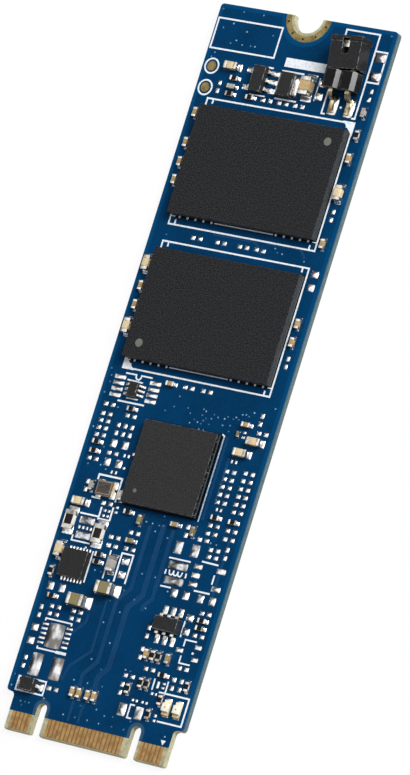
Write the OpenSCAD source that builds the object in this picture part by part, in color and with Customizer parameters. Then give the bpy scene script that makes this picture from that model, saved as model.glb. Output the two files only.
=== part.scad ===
/* [Board] */
// Width of the board
board_w = 22; // [22:0.5:24]
// Length of the board, from the contact edge to the screw edge
board_l = 80; // [80:1:110]
// Thickness of the board over both solder masks
board_t = 0.8; // [0.7:0.05:1.2]
// Thickness of each solder mask
mask_t = 0.03; // [0.02:0.01:0.05]
// Radius of the outer corners of the board
corner_r = 0.4; // [0.2:0.05:1]

/* [Edge connector] */
// Width of the contact tongue
tongue_w = 19.85; // [19.6:0.05:20]
// Length of the tongue, from the contact edge to the shoulders
tongue_l = 4; // [3.8:0.1:5]
// Radius of the fillets between the tongue and the shoulders
shoulder_r = 0.5; // [0.3:0.05:0.5]
// Radius of the corners and notch mouths at the contact edge
tip_r = 0.25; // [0.1:0.05:0.3]
// Width of the key notches
notch_w = 1.2; // [1.1:0.05:1.3]
// Depth of the key notches, from the contact edge
notch_l = 3.5; // [3.2:0.1:3.7]
// Bevel on the two faces of the contact edge
bevel = 0.15; // [0.05:0.05:0.15]
// Spacing of the contacts on one face
contact_pitch = 0.5; // [0.49:0.005:0.5]
// Width of a contact
contact_w = 0.35; // [0.3:0.01:0.38]
// Length of a contact
contact_l = 1.85; // [1.5:0.05:1.9]
// Bare laminate between a contact and the contact edge
contact_setback = 0.2; // [0.2:0.05:0.4]

/* [Screw notch] */
// Radius of the half-round notch that takes the screw
screw_r = 1.75; // [1.6:0.05:1.9]
// Inner radius of the plated pads round the notch
pad_inner_r = 2.1; // [2:0.05:2.3]
// Outer radius of the plated pads, where the screw head sits
pad_outer_r = 2.75; // [2.7:0.05:2.9]
// Number of plated holes that join the two pads
pad_vias = 5; // [3:1:6]
// Outer diameter of a plated hole
via_d = 0.34; // [0.3:0.02:0.4]
// Inner diameter of a plated hole
via_bore = 0.24; // [0.15:0.01:0.26]

/* [Lands and silkscreen] */
// Height of the solder lands above the mask
land_rise = 0.04; // [0.03:0.01:0.06]
// Gap between a land and the edge of its mask opening
mask_gap = 0.04; // [0.03:0.01:0.06]
// Width of the silkscreen lines
silk_w = 0.18; // [0.12:0.02:0.2]
// Thickness of the silkscreen ink
silk_t = 0.02; // [0.01:0.005:0.025]
// Diameter of the round test pads
test_pad_d = 1.05; // [0.9:0.05:1.2]
// Inner radius of the silkscreen rings round the test pads
ring_r = 0.72; // [0.7:0.02:0.76]

/* [Flash packages] */
// Side of a flash package across the board
flash_w = 18; // [17.6:0.1:18]
// Side of a flash package along the board
flash_l = 12; // [11.6:0.1:12.4]
// Height of a flash package above the board
flash_h = 1.2; // [1:0.05:1.4]
// Thickness of the flash substrates
flash_base_t = 0.22; // [0.15:0.01:0.3]
// Spacing of the solder balls under a flash package
ball_pitch = 1; // [0.9:0.05:1]
// Height of the solder balls under the packages
ball_h = 0.22; // [0.18:0.01:0.3]
// Largest diameter of a solder ball
ball_d = 0.42; // [0.36:0.02:0.46]

/* [Controller] */
// Side of the square controller package
ctrl_w = 9; // [8.6:0.1:9]
// Height of the controller above the board
ctrl_h = 0.95; // [0.8:0.05:1.2]
// Thickness of the controller substrate
ctrl_base_t = 0.2; // [0.15:0.01:0.25]
// Solder balls along one side of the controller
ctrl_balls = 10; // [8:1:12]
// Spacing of the controller's solder balls
ctrl_ball_pitch = 0.8; // [0.7:0.05:0.8]

/* [Header and jumper] */
// Spacing of the two header pins
pin_pitch = 2; // [1.95:0.01:2.05]
// Side of the square pins
pin_w = 0.45; // [0.4:0.05:0.55]
// Height of the pin axis above the board, where it leaves the header
pin_rise = 1.25; // [1.2:0.05:1.6]
// Side of one eight-sided cell of the header
cell_w = 2; // [1.95:0.01:2]
// Width of the bevels on the cells
cell_bevel = 0.4; // [0.3:0.05:0.5]
// Depth of the header along the pins
header_l = 2; // [1.8:0.1:2]
// Upward tilt of the header and jumper
header_tilt = 4; // [0:0.5:5]
// Sideways turn of the jumper on its pins
jumper_turn = 4.5; // [0:0.5:5]
// Width of the jumper housing across the pins
jumper_w = 3.6; // [3.5:0.05:4]
// Height of the jumper housing
jumper_h = 2; // [1.9:0.1:2.2]
// Length of the jumper housing along the pins
jumper_l = 3.5; // [3.3:0.1:3.6]
// Side of the two pin passages in the jumper
passage_w = 1.1; // [1.05:0.05:1.2]
// Thickness of the jumper's metal clip
clip_t = 0.12; // [0.08:0.02:0.14]

/* [Chip sizes] */
// Length, width and height of the smallest chips
size_0201 = [0.6, 0.3, 0.3];
// Length, width and height of the small capacitors and beads
size_0402 = [1, 0.5, 0.5];
// Length, width and height of the small resistors
size_r0402 = [1, 0.5, 0.35];
// Length, width and height of the middle capacitors
size_0603 = [1.6, 0.8, 0.8];
// Length, width and height of the large capacitors
size_0805 = [2, 1.25, 1.2];
// Length, width and height of the low-ohm resistors
size_shunt = [2, 1.25, 0.5];
// Length, width and height of the light-emitting diodes
size_led = [1.6, 0.8, 0.55];
// Length, width and height of the power inductor
size_inductor = [2, 2.6, 1];
// Length, width and height of the oscillator
size_oscillator = [2, 1.6, 0.7];
// Length, width and height of the diode body
size_diode = [1.8, 1.4, 0.95];
// Share of a chip's length that each end cap covers
cap_share = 0.24; // [0.18:0.01:0.28]
// How far the end caps stand proud of a chip's body
cap_proud = 0.02; // [0.01:0.005:0.03]

/* [Small integrated circuits] */
// Side of the square regulator
regulator_w = 3; // [2.8:0.05:3]
// Height of the regulator
regulator_h = 0.75; // [0.6:0.05:0.9]
// Width, length and height of the driver bodies
size_driver = [1.6, 2.8, 0.95];
// Spacing of the driver leads
driver_pitch = 0.95; // [0.9:0.01:0.95]
// Thickness of the leads
lead_t = 0.15; // [0.1:0.01:0.16]
// Width, length and height of the gate body
size_gate = [1.2, 1.6, 0.55];
// Spacing of the gate leads
gate_pitch = 0.5; // [0.48:0.01:0.5]

/* [Hidden] */
$fn = 48;

// Heights of the layers
laminate_z0 = mask_t;
laminate_z1 = board_t - mask_t;
seat_z = board_t + land_rise;

// The layout is drawn for a board with this length between its shoulders and the screw edge, and keeps
// its proportions on any other board
layout_l = 76;
layout_shoulder_y = -36;
edge_y = -board_l / 2;
screw_y = board_l / 2;
shoulder_y = edge_y + tongue_l;
contact_end_y = edge_y + contact_setback + contact_l;
function place_y(y) = shoulder_y + (y - layout_shoulder_y) * (board_l - tongue_l) / layout_l;

// Contact positions count from 1 to 75 and run towards -X, odd ones on the top face. Each key notch
// takes the place of eight positions.
last_pin = 75;
first_key = [12, 19];
second_key = [59, 66];
function pin_x(n) = ((last_pin + 1) / 2 - n) * contact_pitch / 2;
function is_pin(n) = n < first_key[0] || n > first_key[1] && n < second_key[0] || n > second_key[1];
function key_x(key) = (pin_x(key[0]) + pin_x(key[1])) / 2;

// Places are [x, y, turn], with x and y in millimetres from the middle of the board
flash_x = -0.03;
flash_low_y = 6.7;
flash_high_y = 22.6;
ctrl_x = 0.5;
ctrl_y = -9.83;
header_x = 7;
header_y = 32.55;
inductor_at = [0.15, 32.3];
oscillator_at = [-6.5, -13.3];
regulator_at = [-7.45, -21.7];
gate_at = [-6.92, -2.5];
diode_at = [-8.3, -35];
test_pads_at = [[-9.84, 33.1], [-9.84, 30.7]];
driver_three_at = [-3.4, 32.42, 0];
driver_six_at = [5.68, -25.75, 90];
leds_at = [[8.4, -34, 90], [9.75, -34, 90]];
shunts_at = [[-9.66, -17.25, 90], [-5.75, -18.05, 90]];
tiny_capacitors_at = [[6.85, -4.8, 90]];
small_capacitors_at = [
    [-3, -34.65, 90], [-2.2, -34.65, 90], [-1.1, -34.65, 90], [-0.3, -34.65, 90],
    [4.2, -29.1, 90], [6.85, -29.1, 90], [-1.4, -15.7, 90], [-1.75, -18.05, 0],
    [2.9, -15.4, 0], [5.2, -15.7, 90], [7.55, -3.7, 0], [-2.75, -1.1, 0],
    [-9.9, 8.5, 90], [-9.9, 6.4, 90], [-9.9, 27.8, 90], [-9.9, 24.45, 90],
    [-9.9, 22.3, 90], [-9.9, 20.3, 90], [9.9, 7.7, 90], [9.9, 5.7, 90],
    [9.9, 25.8, 90], [9.9, 16.45, 90]];
middle_capacitors_at = [[-9.7, -20.5, 90], [-9.1, -15.15, 0], [8, -6.7, 0], [9.15, -5.3, 0],
    [-9.95, 10.95, 90], [-9.95, 4, 90], [10, 22, 90],
    [-7.2, 33.35, 0]];
large_capacitors_at = [[-5.6, -25.35, 0], [-2.7, -23.5, 0], [2.55, 32.5, 90]];
small_beads_at = [[-8.35, -13.25, 90], [ctrl_x - ctrl_w / 2 - 0.52, -13.65, 90], [-6.55, 31.2, 0], [9.98, 30.85, 90]];
middle_beads_at = [[-3.05, -20.85, 90]];
resistors_at = [
    [6.5, -35.1, 90], [7.4, -33.4, 90], [-10, -22.85, 90], [-9, -25.4, 0],
    [-4.92, -20.15, 0], [-4.92, -20.95, 0], [9.4, -24.5, 0], [9.4, -25.3, 0],
    [4.95, -29.1, 90], [5.7, -29.1, 90], [6.8, -30.85, 0], [4.55, -32.1, 90],
    [5.3, -32.1, 90], [10, -31.45, 90], [3.25, -33, 90], [-3.1, ctrl_y - ctrl_w / 2 - 0.82, 0],
    [7.25, -13.8, 0], [9.45, -13.9, 0], [-9.38, -8.6, 0], [-9.38, -9.6, 0],
    [-6.5, -4.5, 0], [9.95, 28.4, 90], [-6.55, 32.15, 0], [-6.55, 30.4, 0], [-4, 30.4, 0]];

// Lands that no chip is fitted on
open_tiny_at = [[7.25, -12.9, 0], [7.28, -7.7, 0], [-5.47, -9.45, 0], [-6.38, -11.4, 0],
    [-4.65, -15.2, 90], [7.5, -4.75, 90]];
open_small_at = concat(
    [[-5.6, -34.85, 0], [2.35, -33.1, 90], [-9.95, -27.2, 90], [-9.95, -32.7, 90],
    [-8.3, -26.45, 0], [-8.3, -27.25, 0], [-5.55, -26.45, 0], [-5.55, -27.25, 0],
    [9.45, -23.7, 0], [9.4, -26.1, 0], [3.45, -26.8, 90], [3.4, -29.1, 90], [8.8, -29.7, 0],
    [4.95, -30.55, 0], [8.2, -31.45, 90], [9.1, -31.45, 90], [2.85, -31.7, 0], [-6, -14.75, 0],
    [-9.1, -13.3, 90], [-3.85, -18.05, 0], [-3.85, -18.95, 0], [-1.7, -17.15, 0], [-1.7, -18.9, 0],
    [4.35, -15.75, 90], [8.2, -17.1, 0], [8.2, -17.85, 0], [6.55, -16.3, 0], [9.68, -17.2, 90],
    [7.25, -14.65, 0], [7.25, -15.5, 0], [9.47, -14.8, 0], [9.47, -15.7, 0], [-9.38, -4.45, 0],
    [-9.38, -10.4, 0], [-6.42, -5.25, 0], [-7.2, -9.45, 0], [8.97, -2.85, 90], [9.6, -4.25, 0],
    [-0.62, -1.1, 0], [1.62, -1.1, 0], [-5.2, 14.6, 0], [-2.18, 14.6, 0], [0.62, 14.6, 0],
    [2.68, 14.6, 0], [9.85, 3.55, 90], [9.85, 19.6, 90], [-8.25, 31, 90], [-2.02, 30.4, 0],
    [0, 30.4, 0], [1.98, 30.4, 0], [9.93, 32.85, 90]],
    [for (k = [0:4]) [7.25, -8.8 - 0.83 * k, 0]],
    [for (k = [0:5]) [9.47, -8.6 - 0.84 * k, 0]],
    [for (k = [0:3]) [-9.38, -5.5 - 0.77 * k, 0]],
    [for (k = [0:2]) [-7.55 + 0.85 * k, -6.85, 90]]);
open_middle_at = [[-8.9, -24.4, 0], [-9.95, -29.7, 90], [5.82, -22.3, 0], [9.05, -22.3, 0],
    [7.8, -25.2, 90], [-6.7, -8.4, 0], [-6.8, -10.45, 0], [9.95, 12.45, 90], [4, 32.5, 90],
    [-1.68, -20.95, 90]];
open_large_at = [[4.25, -35.2, 0], [4.98, -17.6, 0], [9.78, 35.95, 90]];
round_lands_at = [[4.1, -34], [4.6, -34], [5.3, -34], [5.8, -34], [7.3, -35.05], [7.3, -35.57],
    [-6, -15.5], [-5.5, -15.5], [-6, -16.05], [-5.5, -16.05], [6.1, -32.9], [6.55, -32.9],
    [-4.7, -9.1], [-5.35, -10.75]];

// Lands of a chip: length, width and distance between centres
pads_0201 = [0.26, 0.36, 0.52];
pads_0402 = [0.52, 0.44, 0.88];
pads_0603 = [0.75, 0.85, 1.45];
pads_0805 = [0.95, 1.35, 2.05];
pads_led = [0.6, 0.8, 1.3];
pads_diode = [0.9, 0.8, 2.2];
pads_inductor = [0.8, 2.2, 1.75];
pads_coil = [0.8, 2.35, 1.65];
round_land_d = 0.3;

module at_each(places) {
    for (p = places) translate([p[0], place_y(p[1]), 0]) rotate(p[2]) children();
}

module at_xy(p) {
    translate([p[0], place_y(p[1]), 0]) children();
}

// Board outline, with round-cornered tongue, shoulders, key notches and screw notch
module rounded_rect(w, l, r) {
    square([w - 2 * r, l], center = true);
    square([w, l - 2 * r], center = true);
    for (x = [-1, 1], y = [-1, 1]) translate([x * (w / 2 - r), y * (l / 2 - r)]) circle(r);
}

module inner_fillet(r) {
    difference() {
        square(r);
        translate([r, r]) circle(r);
    }
}

module key_notch(x) {
    translate([x, edge_y]) {
        translate([-notch_w / 2, -1]) square([notch_w, notch_l - notch_w / 2 + 1]);
        translate([0, notch_l - notch_w / 2]) circle(notch_w / 2);
        for (s = [-1, 1]) translate([s * notch_w / 2, 0]) scale([s, 1]) mouth();
    }
}

module mouth() {
    difference() {
        translate([0, -1]) square([tip_r, 1 + tip_r]);
        translate([tip_r, tip_r]) circle(tip_r);
    }
}

module board_outline() {
    body_l = board_l - tongue_l;
    difference() {
        union() {
            translate([0, shoulder_y + body_l / 2]) rounded_rect(board_w, body_l, corner_r);
            translate([0, edge_y + tongue_l / 2 + tip_r]) rounded_rect(tongue_w, tongue_l + 2 * tip_r, tip_r);
            for (s = [-1, 1])
                translate([s * tongue_w / 2, shoulder_y]) scale([s, -1]) inner_fillet(shoulder_r);
        }
        key_notch(key_x(first_key));
        key_notch(key_x(second_key));
        translate([0, screw_y]) circle(screw_r);
    }
}

// The five vias lie on the middle of the plated pads, fanned over the half circle
via_ring_r = (pad_inner_r + pad_outer_r) / 2;
function via_angle(k) = 180 + 180 * (k + 0.5) / pad_vias;
module at_vias() {
    for (k = [0:pad_vias - 1])
        translate([via_ring_r * cos(via_angle(k)), screw_y + via_ring_r * sin(via_angle(k))]) children();
}

module board_laminate() {
    color("#b5ad7c") difference() {
        translate([0, 0, laminate_z0]) linear_extrude(laminate_z1 - laminate_z0) board_outline();
        for (s = [0, 1]) translate([0, edge_y, s == 0 ? laminate_z0 : laminate_z1])
            rotate([45, 0, 0]) cube([board_w, bevel * sqrt(2), bevel * sqrt(2)], center = true);
        translate([0, 0, -board_t]) linear_extrude(3 * board_t) at_vias() circle(d = via_d);
    }
}

// Areas that the top mask leaves free, each grown by the gap round a land
module pair_areas(pads, grow) {
    for (s = [-1, 1]) translate([s * pads[2] / 2, 0])
        square([pads[0] + 2 * grow, pads[1] + 2 * grow], center = true);
}

module row_areas(count, pitch, land, grow) {
    for (k = [0:count - 1]) translate([0, (k - (count - 1) / 2) * pitch])
        square([land[0] + 2 * grow, land[1] + 2 * grow], center = true);
}

module chip_land_areas(grow) {
    at_each(concat(small_capacitors_at, small_beads_at, resistors_at, open_small_at))
        pair_areas(pads_0402, grow);
    at_each(concat(middle_capacitors_at, middle_beads_at, open_middle_at)) pair_areas(pads_0603, grow);
    at_each(concat(tiny_capacitors_at, open_tiny_at)) pair_areas(pads_0201, grow);
    at_each(leds_at) pair_areas(pads_led, grow);
}

module wide_land_areas(grow) {
    at_each(concat(large_capacitors_at, shunts_at, open_large_at)) pair_areas(pads_0805, grow);
    at_xy(diode_at) pair_areas(pads_diode, grow);
    at_xy(inductor_at) pair_areas(pads_inductor, grow);
    at_each([[4.58, -20.3, 90]]) pair_areas(pads_coil, grow);
    at_xy([-7.2, -32.75]) pair_areas([1.35, 2.45, 2.6], grow);
    at_xy([-7.27, -29.45]) row_areas(1, 0, [1.95, 2.65], grow);
    at_xy([-7.7, -17.75]) row_areas(2, 1.6, [1.85, 0.75], grow);
    at_xy([header_x, header_y]) translate([0, -1.45]) pair_areas([1.1, 2, pin_pitch], grow);
    at_xy(oscillator_at) for (s = [-1, 1]) translate([s * 0.85, 0]) row_areas(2, 1.05, [0.7, 0.85], grow);
}

module driver_land_areas(grow, open_middle) {
    reach = size_driver[0] / 2 + 0.75;
    translate([reach, 0]) row_areas(3, driver_pitch, [0.95, 0.55], grow);
    translate([-reach, 0])
        row_areas(open_middle ? 2 : 3, open_middle ? 2 * driver_pitch : driver_pitch, [0.95, 0.55], grow);
}

module fine_land_areas(grow) {
    at_each([driver_three_at]) driver_land_areas(grow, true);
    at_each([driver_six_at]) driver_land_areas(grow, false);
    at_xy(gate_at) for (s = [-1, 1])
        translate([s * (size_gate[0] / 2 + 0.25), 0]) row_areas(3, gate_pitch, [0.8, 0.26], grow);
    at_xy(regulator_at) for (s = [-1, 1]) translate([0, s * (regulator_w / 2 + 0.12)]) rotate(90)
        row_areas(7, 0.4, [0.5, 0.22], grow);
    at_xy([-7.27, -29.4]) for (s = [-1, 1]) translate([s * 1.5, 0]) row_areas(5, 0.5, [0.75, 0.25], grow);
    at_xy([-6.89, -2.36]) for (s = [-1, 1]) translate([s * 2.2, 0]) row_areas(4, 0.65, [1.4, 0.42], grow);
    at_each([[-7.7, -17.75, 90]]) row_areas(4, 0.48, [0.35, 0.25], grow);
    at_xy([6.92, -20.05]) row_areas(3, 0.95, [1, 0.5], grow);
    at_xy([9.75, -20.05]) row_areas(2, 1.9, [1.1, 0.55], grow);
    at_xy([7.7, -27.9]) row_areas(1, 0, [0.9, 0.45], grow);
    at_xy([9.8, -27.9]) row_areas(2, 1.3, [0.8, 0.45], grow);
    at_xy([6.5, -31.9]) row_areas(1, 0, [0.3, 0.7], grow);
    at_xy([7.15, -31.88]) row_areas(2, 0.45, [0.4, 0.25], grow);
    for (p = round_lands_at) at_xy(p) circle(d = round_land_d + 2 * grow, $fn = 24);
}

module land_areas(grow) {
    chip_land_areas(grow);
    wide_land_areas(grow);
    fine_land_areas(grow);
}

module as_lands() {
    translate([0, 0, laminate_z1]) linear_extrude(seat_z - laminate_z1) children();
}

module chip_lands() {
    color("#d9d9d6") as_lands() chip_land_areas(0);
}

module wide_lands() {
    color("#d3d3cf") as_lands() difference() {
        wide_land_areas(0);
        chip_land_areas(0);
    }
}

module fine_lands() {
    color("#dedede") as_lands() difference() {
        fine_land_areas(0);
        chip_land_areas(0);
        wide_land_areas(0);
    }
}

module mask_outline() {
    difference() {
        board_outline();
        translate([-board_w, edge_y - 1]) square([2 * board_w, contact_end_y + mask_gap - edge_y + 1]);
        translate([0, screw_y]) circle(pad_outer_r + mask_gap);
    }
}

module solder_mask_top() {
    color("#003862") translate([0, 0, laminate_z1]) linear_extrude(mask_t) difference() {
        mask_outline();
        land_areas(mask_gap);
        for (p = test_pads_at) at_xy(p) circle(d = test_pad_d + 2 * mask_gap);
    }
}

module solder_mask_bottom() {
    color("#003862") linear_extrude(mask_t) mask_outline();
}

// Contacts on one face, odd positions above and even ones below
module contact_row(first) {
    for (n = [first:2:last_pin]) if (is_pin(n))
        translate([pin_x(n) - contact_w / 2, edge_y + contact_setback]) square([contact_w, contact_l]);
}

module edge_contacts_top() {
    color("#c09a5c") translate([0, 0, laminate_z1]) linear_extrude(mask_t) contact_row(1);
}

module edge_contacts_bottom() {
    color("#c09a5c") linear_extrude(mask_t) contact_row(2);
}

module mounting_pad() {
    linear_extrude(mask_t) difference() {
        translate([0, screw_y]) circle(pad_outer_r);
        translate([0, screw_y]) circle(pad_inner_r);
        translate([-board_w, screw_y]) square(2 * board_w);
        at_vias() circle(d = via_bore);
    }
}

module mounting_pad_top() {
    color("#a58c50") translate([0, 0, laminate_z1]) mounting_pad();
}

module mounting_pad_bottom() {
    color("#a58c50") mounting_pad();
}

module mounting_pad_vias() {
    color("#8f7a45") translate([0, 0, laminate_z0]) linear_extrude(laminate_z1 - laminate_z0)
        at_vias() difference() {
            circle(d = via_d);
            circle(d = via_bore);
        }
}

module test_pads() {
    color("#8c7c46") as_lands() for (p = test_pads_at) at_xy(p) circle(d = test_pad_d);
}

// Silkscreen lines run through lists of points
module segment(a, b, w) {
    d = b - a;
    translate((a + b) / 2) rotate(atan2(d[1], d[0])) square([norm(d) + w, w], center = true);
}

module path(points, w = silk_w) {
    on_board = [for (p = points) [p[0], place_y(p[1])]];
    for (k = [0:len(points) - 2]) segment(on_board[k], on_board[k + 1], w);
}

module frame(x0, x1, y0, y1) {
    path([[x0, y0], [x1, y0], [x1, y1], [x0, y1], [x0, y0]]);
}

// Box round a flash package, with ticks near its corners and a dashed line along the near side
flash_margin_x = 0.1;
flash_margin_y = 1;
tick_in = 0.75;
tick_l = 0.45;
row_dots = 5;
module flash_frame(y) {
    x1 = flash_w / 2 + flash_margin_x;
    y1 = flash_l / 2 + flash_margin_y;
    dash_y = y - flash_l / 2 - 0.1;
    frame(flash_x - x1, flash_x + x1, y - y1, y + y1);
    for (sx = [-1, 1], sy = [-1, 1]) path([[flash_x + sx * (x1 - tick_in), y + sy * y1],
        [flash_x + sx * (x1 - tick_in), y + sy * (y1 - tick_l)]]);
    for (s = [-1, 1]) path([[flash_x + s * x1, dash_y], [flash_x + s * (x1 - 0.5), dash_y]], 0.12);
    path([[flash_x - 3.6, dash_y], [flash_x + 3.6, dash_y]], 0.12);
    for (s = [-1, 1], k = [0:row_dots - 1])
        translate([flash_x + s * (4 + k) * ball_pitch, place_y(dash_y)]) circle(d = 0.26, $fn = 24);
}

module silk_lines() {
    side_x = board_w / 2 - 0.4;
    flash_frame(flash_low_y);
    flash_frame(flash_high_y);
    // Name frame, header frame and the frame beside it
    frame(0.25 - board_w / 2, -2.75, 35.05, 38.4);
    path([[5.2, 30.1], [4.87, 30.1], [4.87, 39.4], [8.97, 39.4], [8.97, 30.1], [8.65, 30.1]]);
    path([[8.97, 37.6], [side_x - 0.15, 37.6], [side_x - 0.15, 34.2], [8.97, 34.2]]);
    // Screw end parts
    path([[-1.15, 33.87], [1.4, 33.87]]);
    path([[-1.1, 30.82], [1.4, 30.82]]);
    path([[3.55, 33.7], [3.55, 31.3]], 0.12);
    path([[-2.9, 33.95], [-2.45, 33.95]]);
    path([[-4.3, 30.8], [-2.45, 30.8]], 0.12);
    // Controller side line with its hook
    path([[ctrl_x + ctrl_w / 2 + 0.05, -5.15], [ctrl_x + ctrl_w / 2 + 0.27, -5.3],
        [ctrl_x + ctrl_w / 2 + 0.27, -14.5]], 0.15);
    // Eight-lead footprint with its half-round end mark
    path([[-8.5, -0.86], [-7.25, -0.86], [-7.22, -1.15], [-7.05, -1.33], [-6.8, -1.33], [-6.63, -1.15],
        [-6.6, -0.86], [-5.35, -0.86]], 0.16);
    path([[-8.5, -3.88], [-5.35, -3.88]]);
    path([[-8.1, -1.52], [-6.3, -1.58]], 0.16);
    path([[-7.6, -3.43], [-6.3, -3.43]], 0.14);
    // Oscillator frame and the corner mark below it
    path([[-7.98, -12.35], [-7.98, -11.9], [-5.1, -11.9], [-5.1, -14.35]], 0.2);
    path([[-7.98, -14.37], [-7.1, -14.37]], 0.2);
    path([[-8.75, -16.27], [-6.6, -16.27]]);
    path([[-6.5, -15.3], [-6.5, -16.48], [-5.1, -16.48], [-5.1, -15.1]], 0.2);
    path([[-8.88, -18.75], [-8.88, -19.25], [-6.65, -19.25]], 0.16);
    // Bead and the empty frame beside it
    path([[-3.8, -19.5], [-3.8, -19.95]], 0.16);
    path([[-3.8, -21.65], [-3.8, -22.4]], 0.16);
    path([[-2.4, -22.45], [-2.4, -19.45], [-1, -19.45], [-1, -22.45]]);
    path([[-5.85, -20], [-5.85, -23.25]], 0.16);
    // Empty ten-finger footprint
    path([[-8.95, -28], [-8.95, -27.82], [-5.7, -27.82], [-5.7, -28]], 0.16);
    path([[-8.95, -30.9], [-8.95, -31.05], [-5.45, -31.05]], 0.16);
    path([[-6.45, -31.05], [-5.45, -31.05]], 0.3);
    // Coil sign between two wide lands
    turn_w = 0.53;
    for (k = [0:2]) translate([3.99 + turn_w * k, 0]) path([[-turn_w / 2, -20.12], [-0.2, -20.4],
        [-0.1, -20.52], [0.1, -20.52], [0.2, -20.4], [turn_w / 2, -20.12]], 0.14);
    for (x = [3.3, 5.8]) path([[x, -20.15], [x, -20.48]], 0.16);
    path([[3.3, -18.8], [5.8, -18.8]], 0.16);
    path([[3.3, -21.85], [4.4, -21.85]], 0.16);
    path([[7.25, -18.48], [9.1, -18.52]]);
    path([[9.1, -19.7], [9.1, -20.5]]);
    path([[7.35, -21.6], [9.1, -21.6]]);
    // Driver, three-lead footprint and small frames of the right column
    path([[7.35, -24.95], [7.35, -26.5]], 0.16);
    path([[8.05, -27.35], [8.05, -26.72], [9.35, -26.72]], 0.16);
    path([[8.1, -28.5], [8.1, -29.2], [9.35, -29.2]], 0.16);
    path([[5.95, -31.4], [5.95, -32.45]], 0.16);
    path([[7.6, -31.4], [7.6, -32.45]], 0.16);
    path([[4.5, -34.5], [4.05, -34.5], [4.05, -35.9], [4.5, -35.9]], 0.16);
    // Frames of the diode and the light-emitting diodes
    frame(-9.98, -6.58, -35.75, -34.3);
    path([[6.95, -32.6], [side_x, -32.6], [side_x, -35.55], [7.75, -35.55]]);
    for (p = test_pads_at) at_xy(p) difference() {
        circle(ring_r + silk_w);
        circle(ring_r);
    }
    for (p = [[-3, -22.55], [-6.9, -19.75], [9.35, -27.95], [6.95, 31.05]]) at_xy(p) circle(d = 0.25, $fn = 24);
}

module on_mask() {
    translate([0, 0, board_t]) linear_extrude(silk_t) difference() {
        children();
        land_areas(mask_gap);
    }
}

module silkscreen_lines() {
    color("#ecf1f8") on_mask() difference() {
        silk_lines();
        silk_fills();
    }
}

// Filled marks: corner triangles of the flash frames, the end pointer and the bare name plate
corner_mark = 1.5;
module silk_fills() {
    x1 = flash_w / 2 + flash_margin_x + 0.15;
    y1 = flash_l / 2 + flash_margin_y + 0.15;
    at_xy([flash_x - x1, flash_low_y - y1]) polygon([[0, 0], [corner_mark, 0], [0, corner_mark]]);
    at_xy([flash_x + x1, flash_high_y + y1]) polygon([[0, 0], [-corner_mark, 0], [0, -corner_mark]]);
    translate([9.1, contact_end_y + 0.65]) polygon([[-0.3, 0], [0.3, 0], [0, -0.5]]);
    at_xy([1.3, 34.85]) square([5, 1], center = true);
}

module silkscreen_fills() {
    color("#ecf1f8") on_mask() silk_fills();
}

// Flash packages: moulding on a substrate, on two blocks of solder balls
module block(w, l, z0, z1) {
    translate([-w / 2, -l / 2, z0]) cube([w, l, z1 - z0]);
}

module ball() {
    intersection() {
        translate([0, 0, board_t + ball_h / 2]) sphere(d = ball_d, $fn = 24);
        block(ball_d, ball_d, board_t, board_t + ball_h);
    }
}

module flash_package(y) {
    dot_in = [1.6, 1.62];
    dot_deep = 0.03;
    turn = y == flash_low_y ? -1 : 1;
    z0 = board_t + ball_h + flash_base_t;
    at_xy([flash_x, y]) difference() {
        block(flash_w, flash_l, z0, board_t + flash_h);
        translate([turn * (flash_w / 2 - dot_in[0]), turn * (flash_l / 2 - dot_in[1]),
            board_t + flash_h - dot_deep]) cylinder(h = 1, d = 0.95);
    }
}

module flash_package_upper() {
    color("#2f2f30") flash_package(flash_high_y);
}

module flash_package_lower() {
    color("#2f2f30") flash_package(flash_low_y);
}

module flash_substrates() {
    color("#3d4a3c") for (y = [flash_low_y, flash_high_y]) at_xy([flash_x, y])
        block(flash_w, flash_l, board_t + ball_h, board_t + ball_h + flash_base_t);
}

ball_columns = 5;
ball_rows = 11;
module flash_solder_balls() {
    color("#c9ccce") for (y = [flash_low_y, flash_high_y], s = [-1, 1], i = [0:ball_columns - 1],
        j = [0:ball_rows - 1])
            at_xy([flash_x + s * (4 + i) * ball_pitch, y + (j - (ball_rows - 1) / 2) * ball_pitch]) ball();
}

module controller_package() {
    z0 = board_t + ball_h + ctrl_base_t;
    color("#333334") at_xy([ctrl_x, ctrl_y]) difference() {
        block(ctrl_w, ctrl_w, z0, board_t + ctrl_h);
        translate([1.35 - ctrl_w / 2, 1.4 - ctrl_w / 2, board_t + ctrl_h - 0.03]) cylinder(h = 1, d = 0.5);
    }
}

module controller_substrate() {
    color("#46544a") at_xy([ctrl_x, ctrl_y])
        block(ctrl_w, ctrl_w, board_t + ball_h, board_t + ball_h + ctrl_base_t);
}

module controller_solder_balls() {
    color("#c9ccce") for (i = [0:ctrl_balls - 1], j = [0:ctrl_balls - 1])
        at_xy([ctrl_x + (i - (ctrl_balls - 1) / 2) * ctrl_ball_pitch,
            ctrl_y + (j - (ctrl_balls - 1) / 2) * ctrl_ball_pitch]) ball();
}

// Header and jumper share a frame: origin on the pin axis at the header's front face, +Y along the pins
pin_gap = 0.02;
jumper_gap = 0.02 + jumper_w / 2 * tan(jumper_turn);
pin_tip = header_l + jumper_l - 0.6;
foot_l = 1.6;
module header_frame() {
    translate([header_x, place_y(header_y), board_t + pin_rise]) rotate([header_tilt, 0, 0]) children();
}

module octagon(w, b) {
    h = w / 2;
    polygon([[-h, b - h], [b - h, -h], [h - b, -h], [h, b - h], [h, h - b], [h - b, h], [b - h, h], [-h, h - b]]);
}

module header_housing() {
    color("#1b1b1c") header_frame() translate([0, header_l, 0]) rotate([90, 0, 0]) linear_extrude(header_l)
        difference() {
            for (s = [-1, 1]) translate([s * pin_pitch / 2, 0]) octagon(cell_w, cell_bevel);
            for (s = [-1, 1]) translate([s * pin_pitch / 2, 0]) square(pin_w + 2 * pin_gap, center = true);
        }
}

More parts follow.
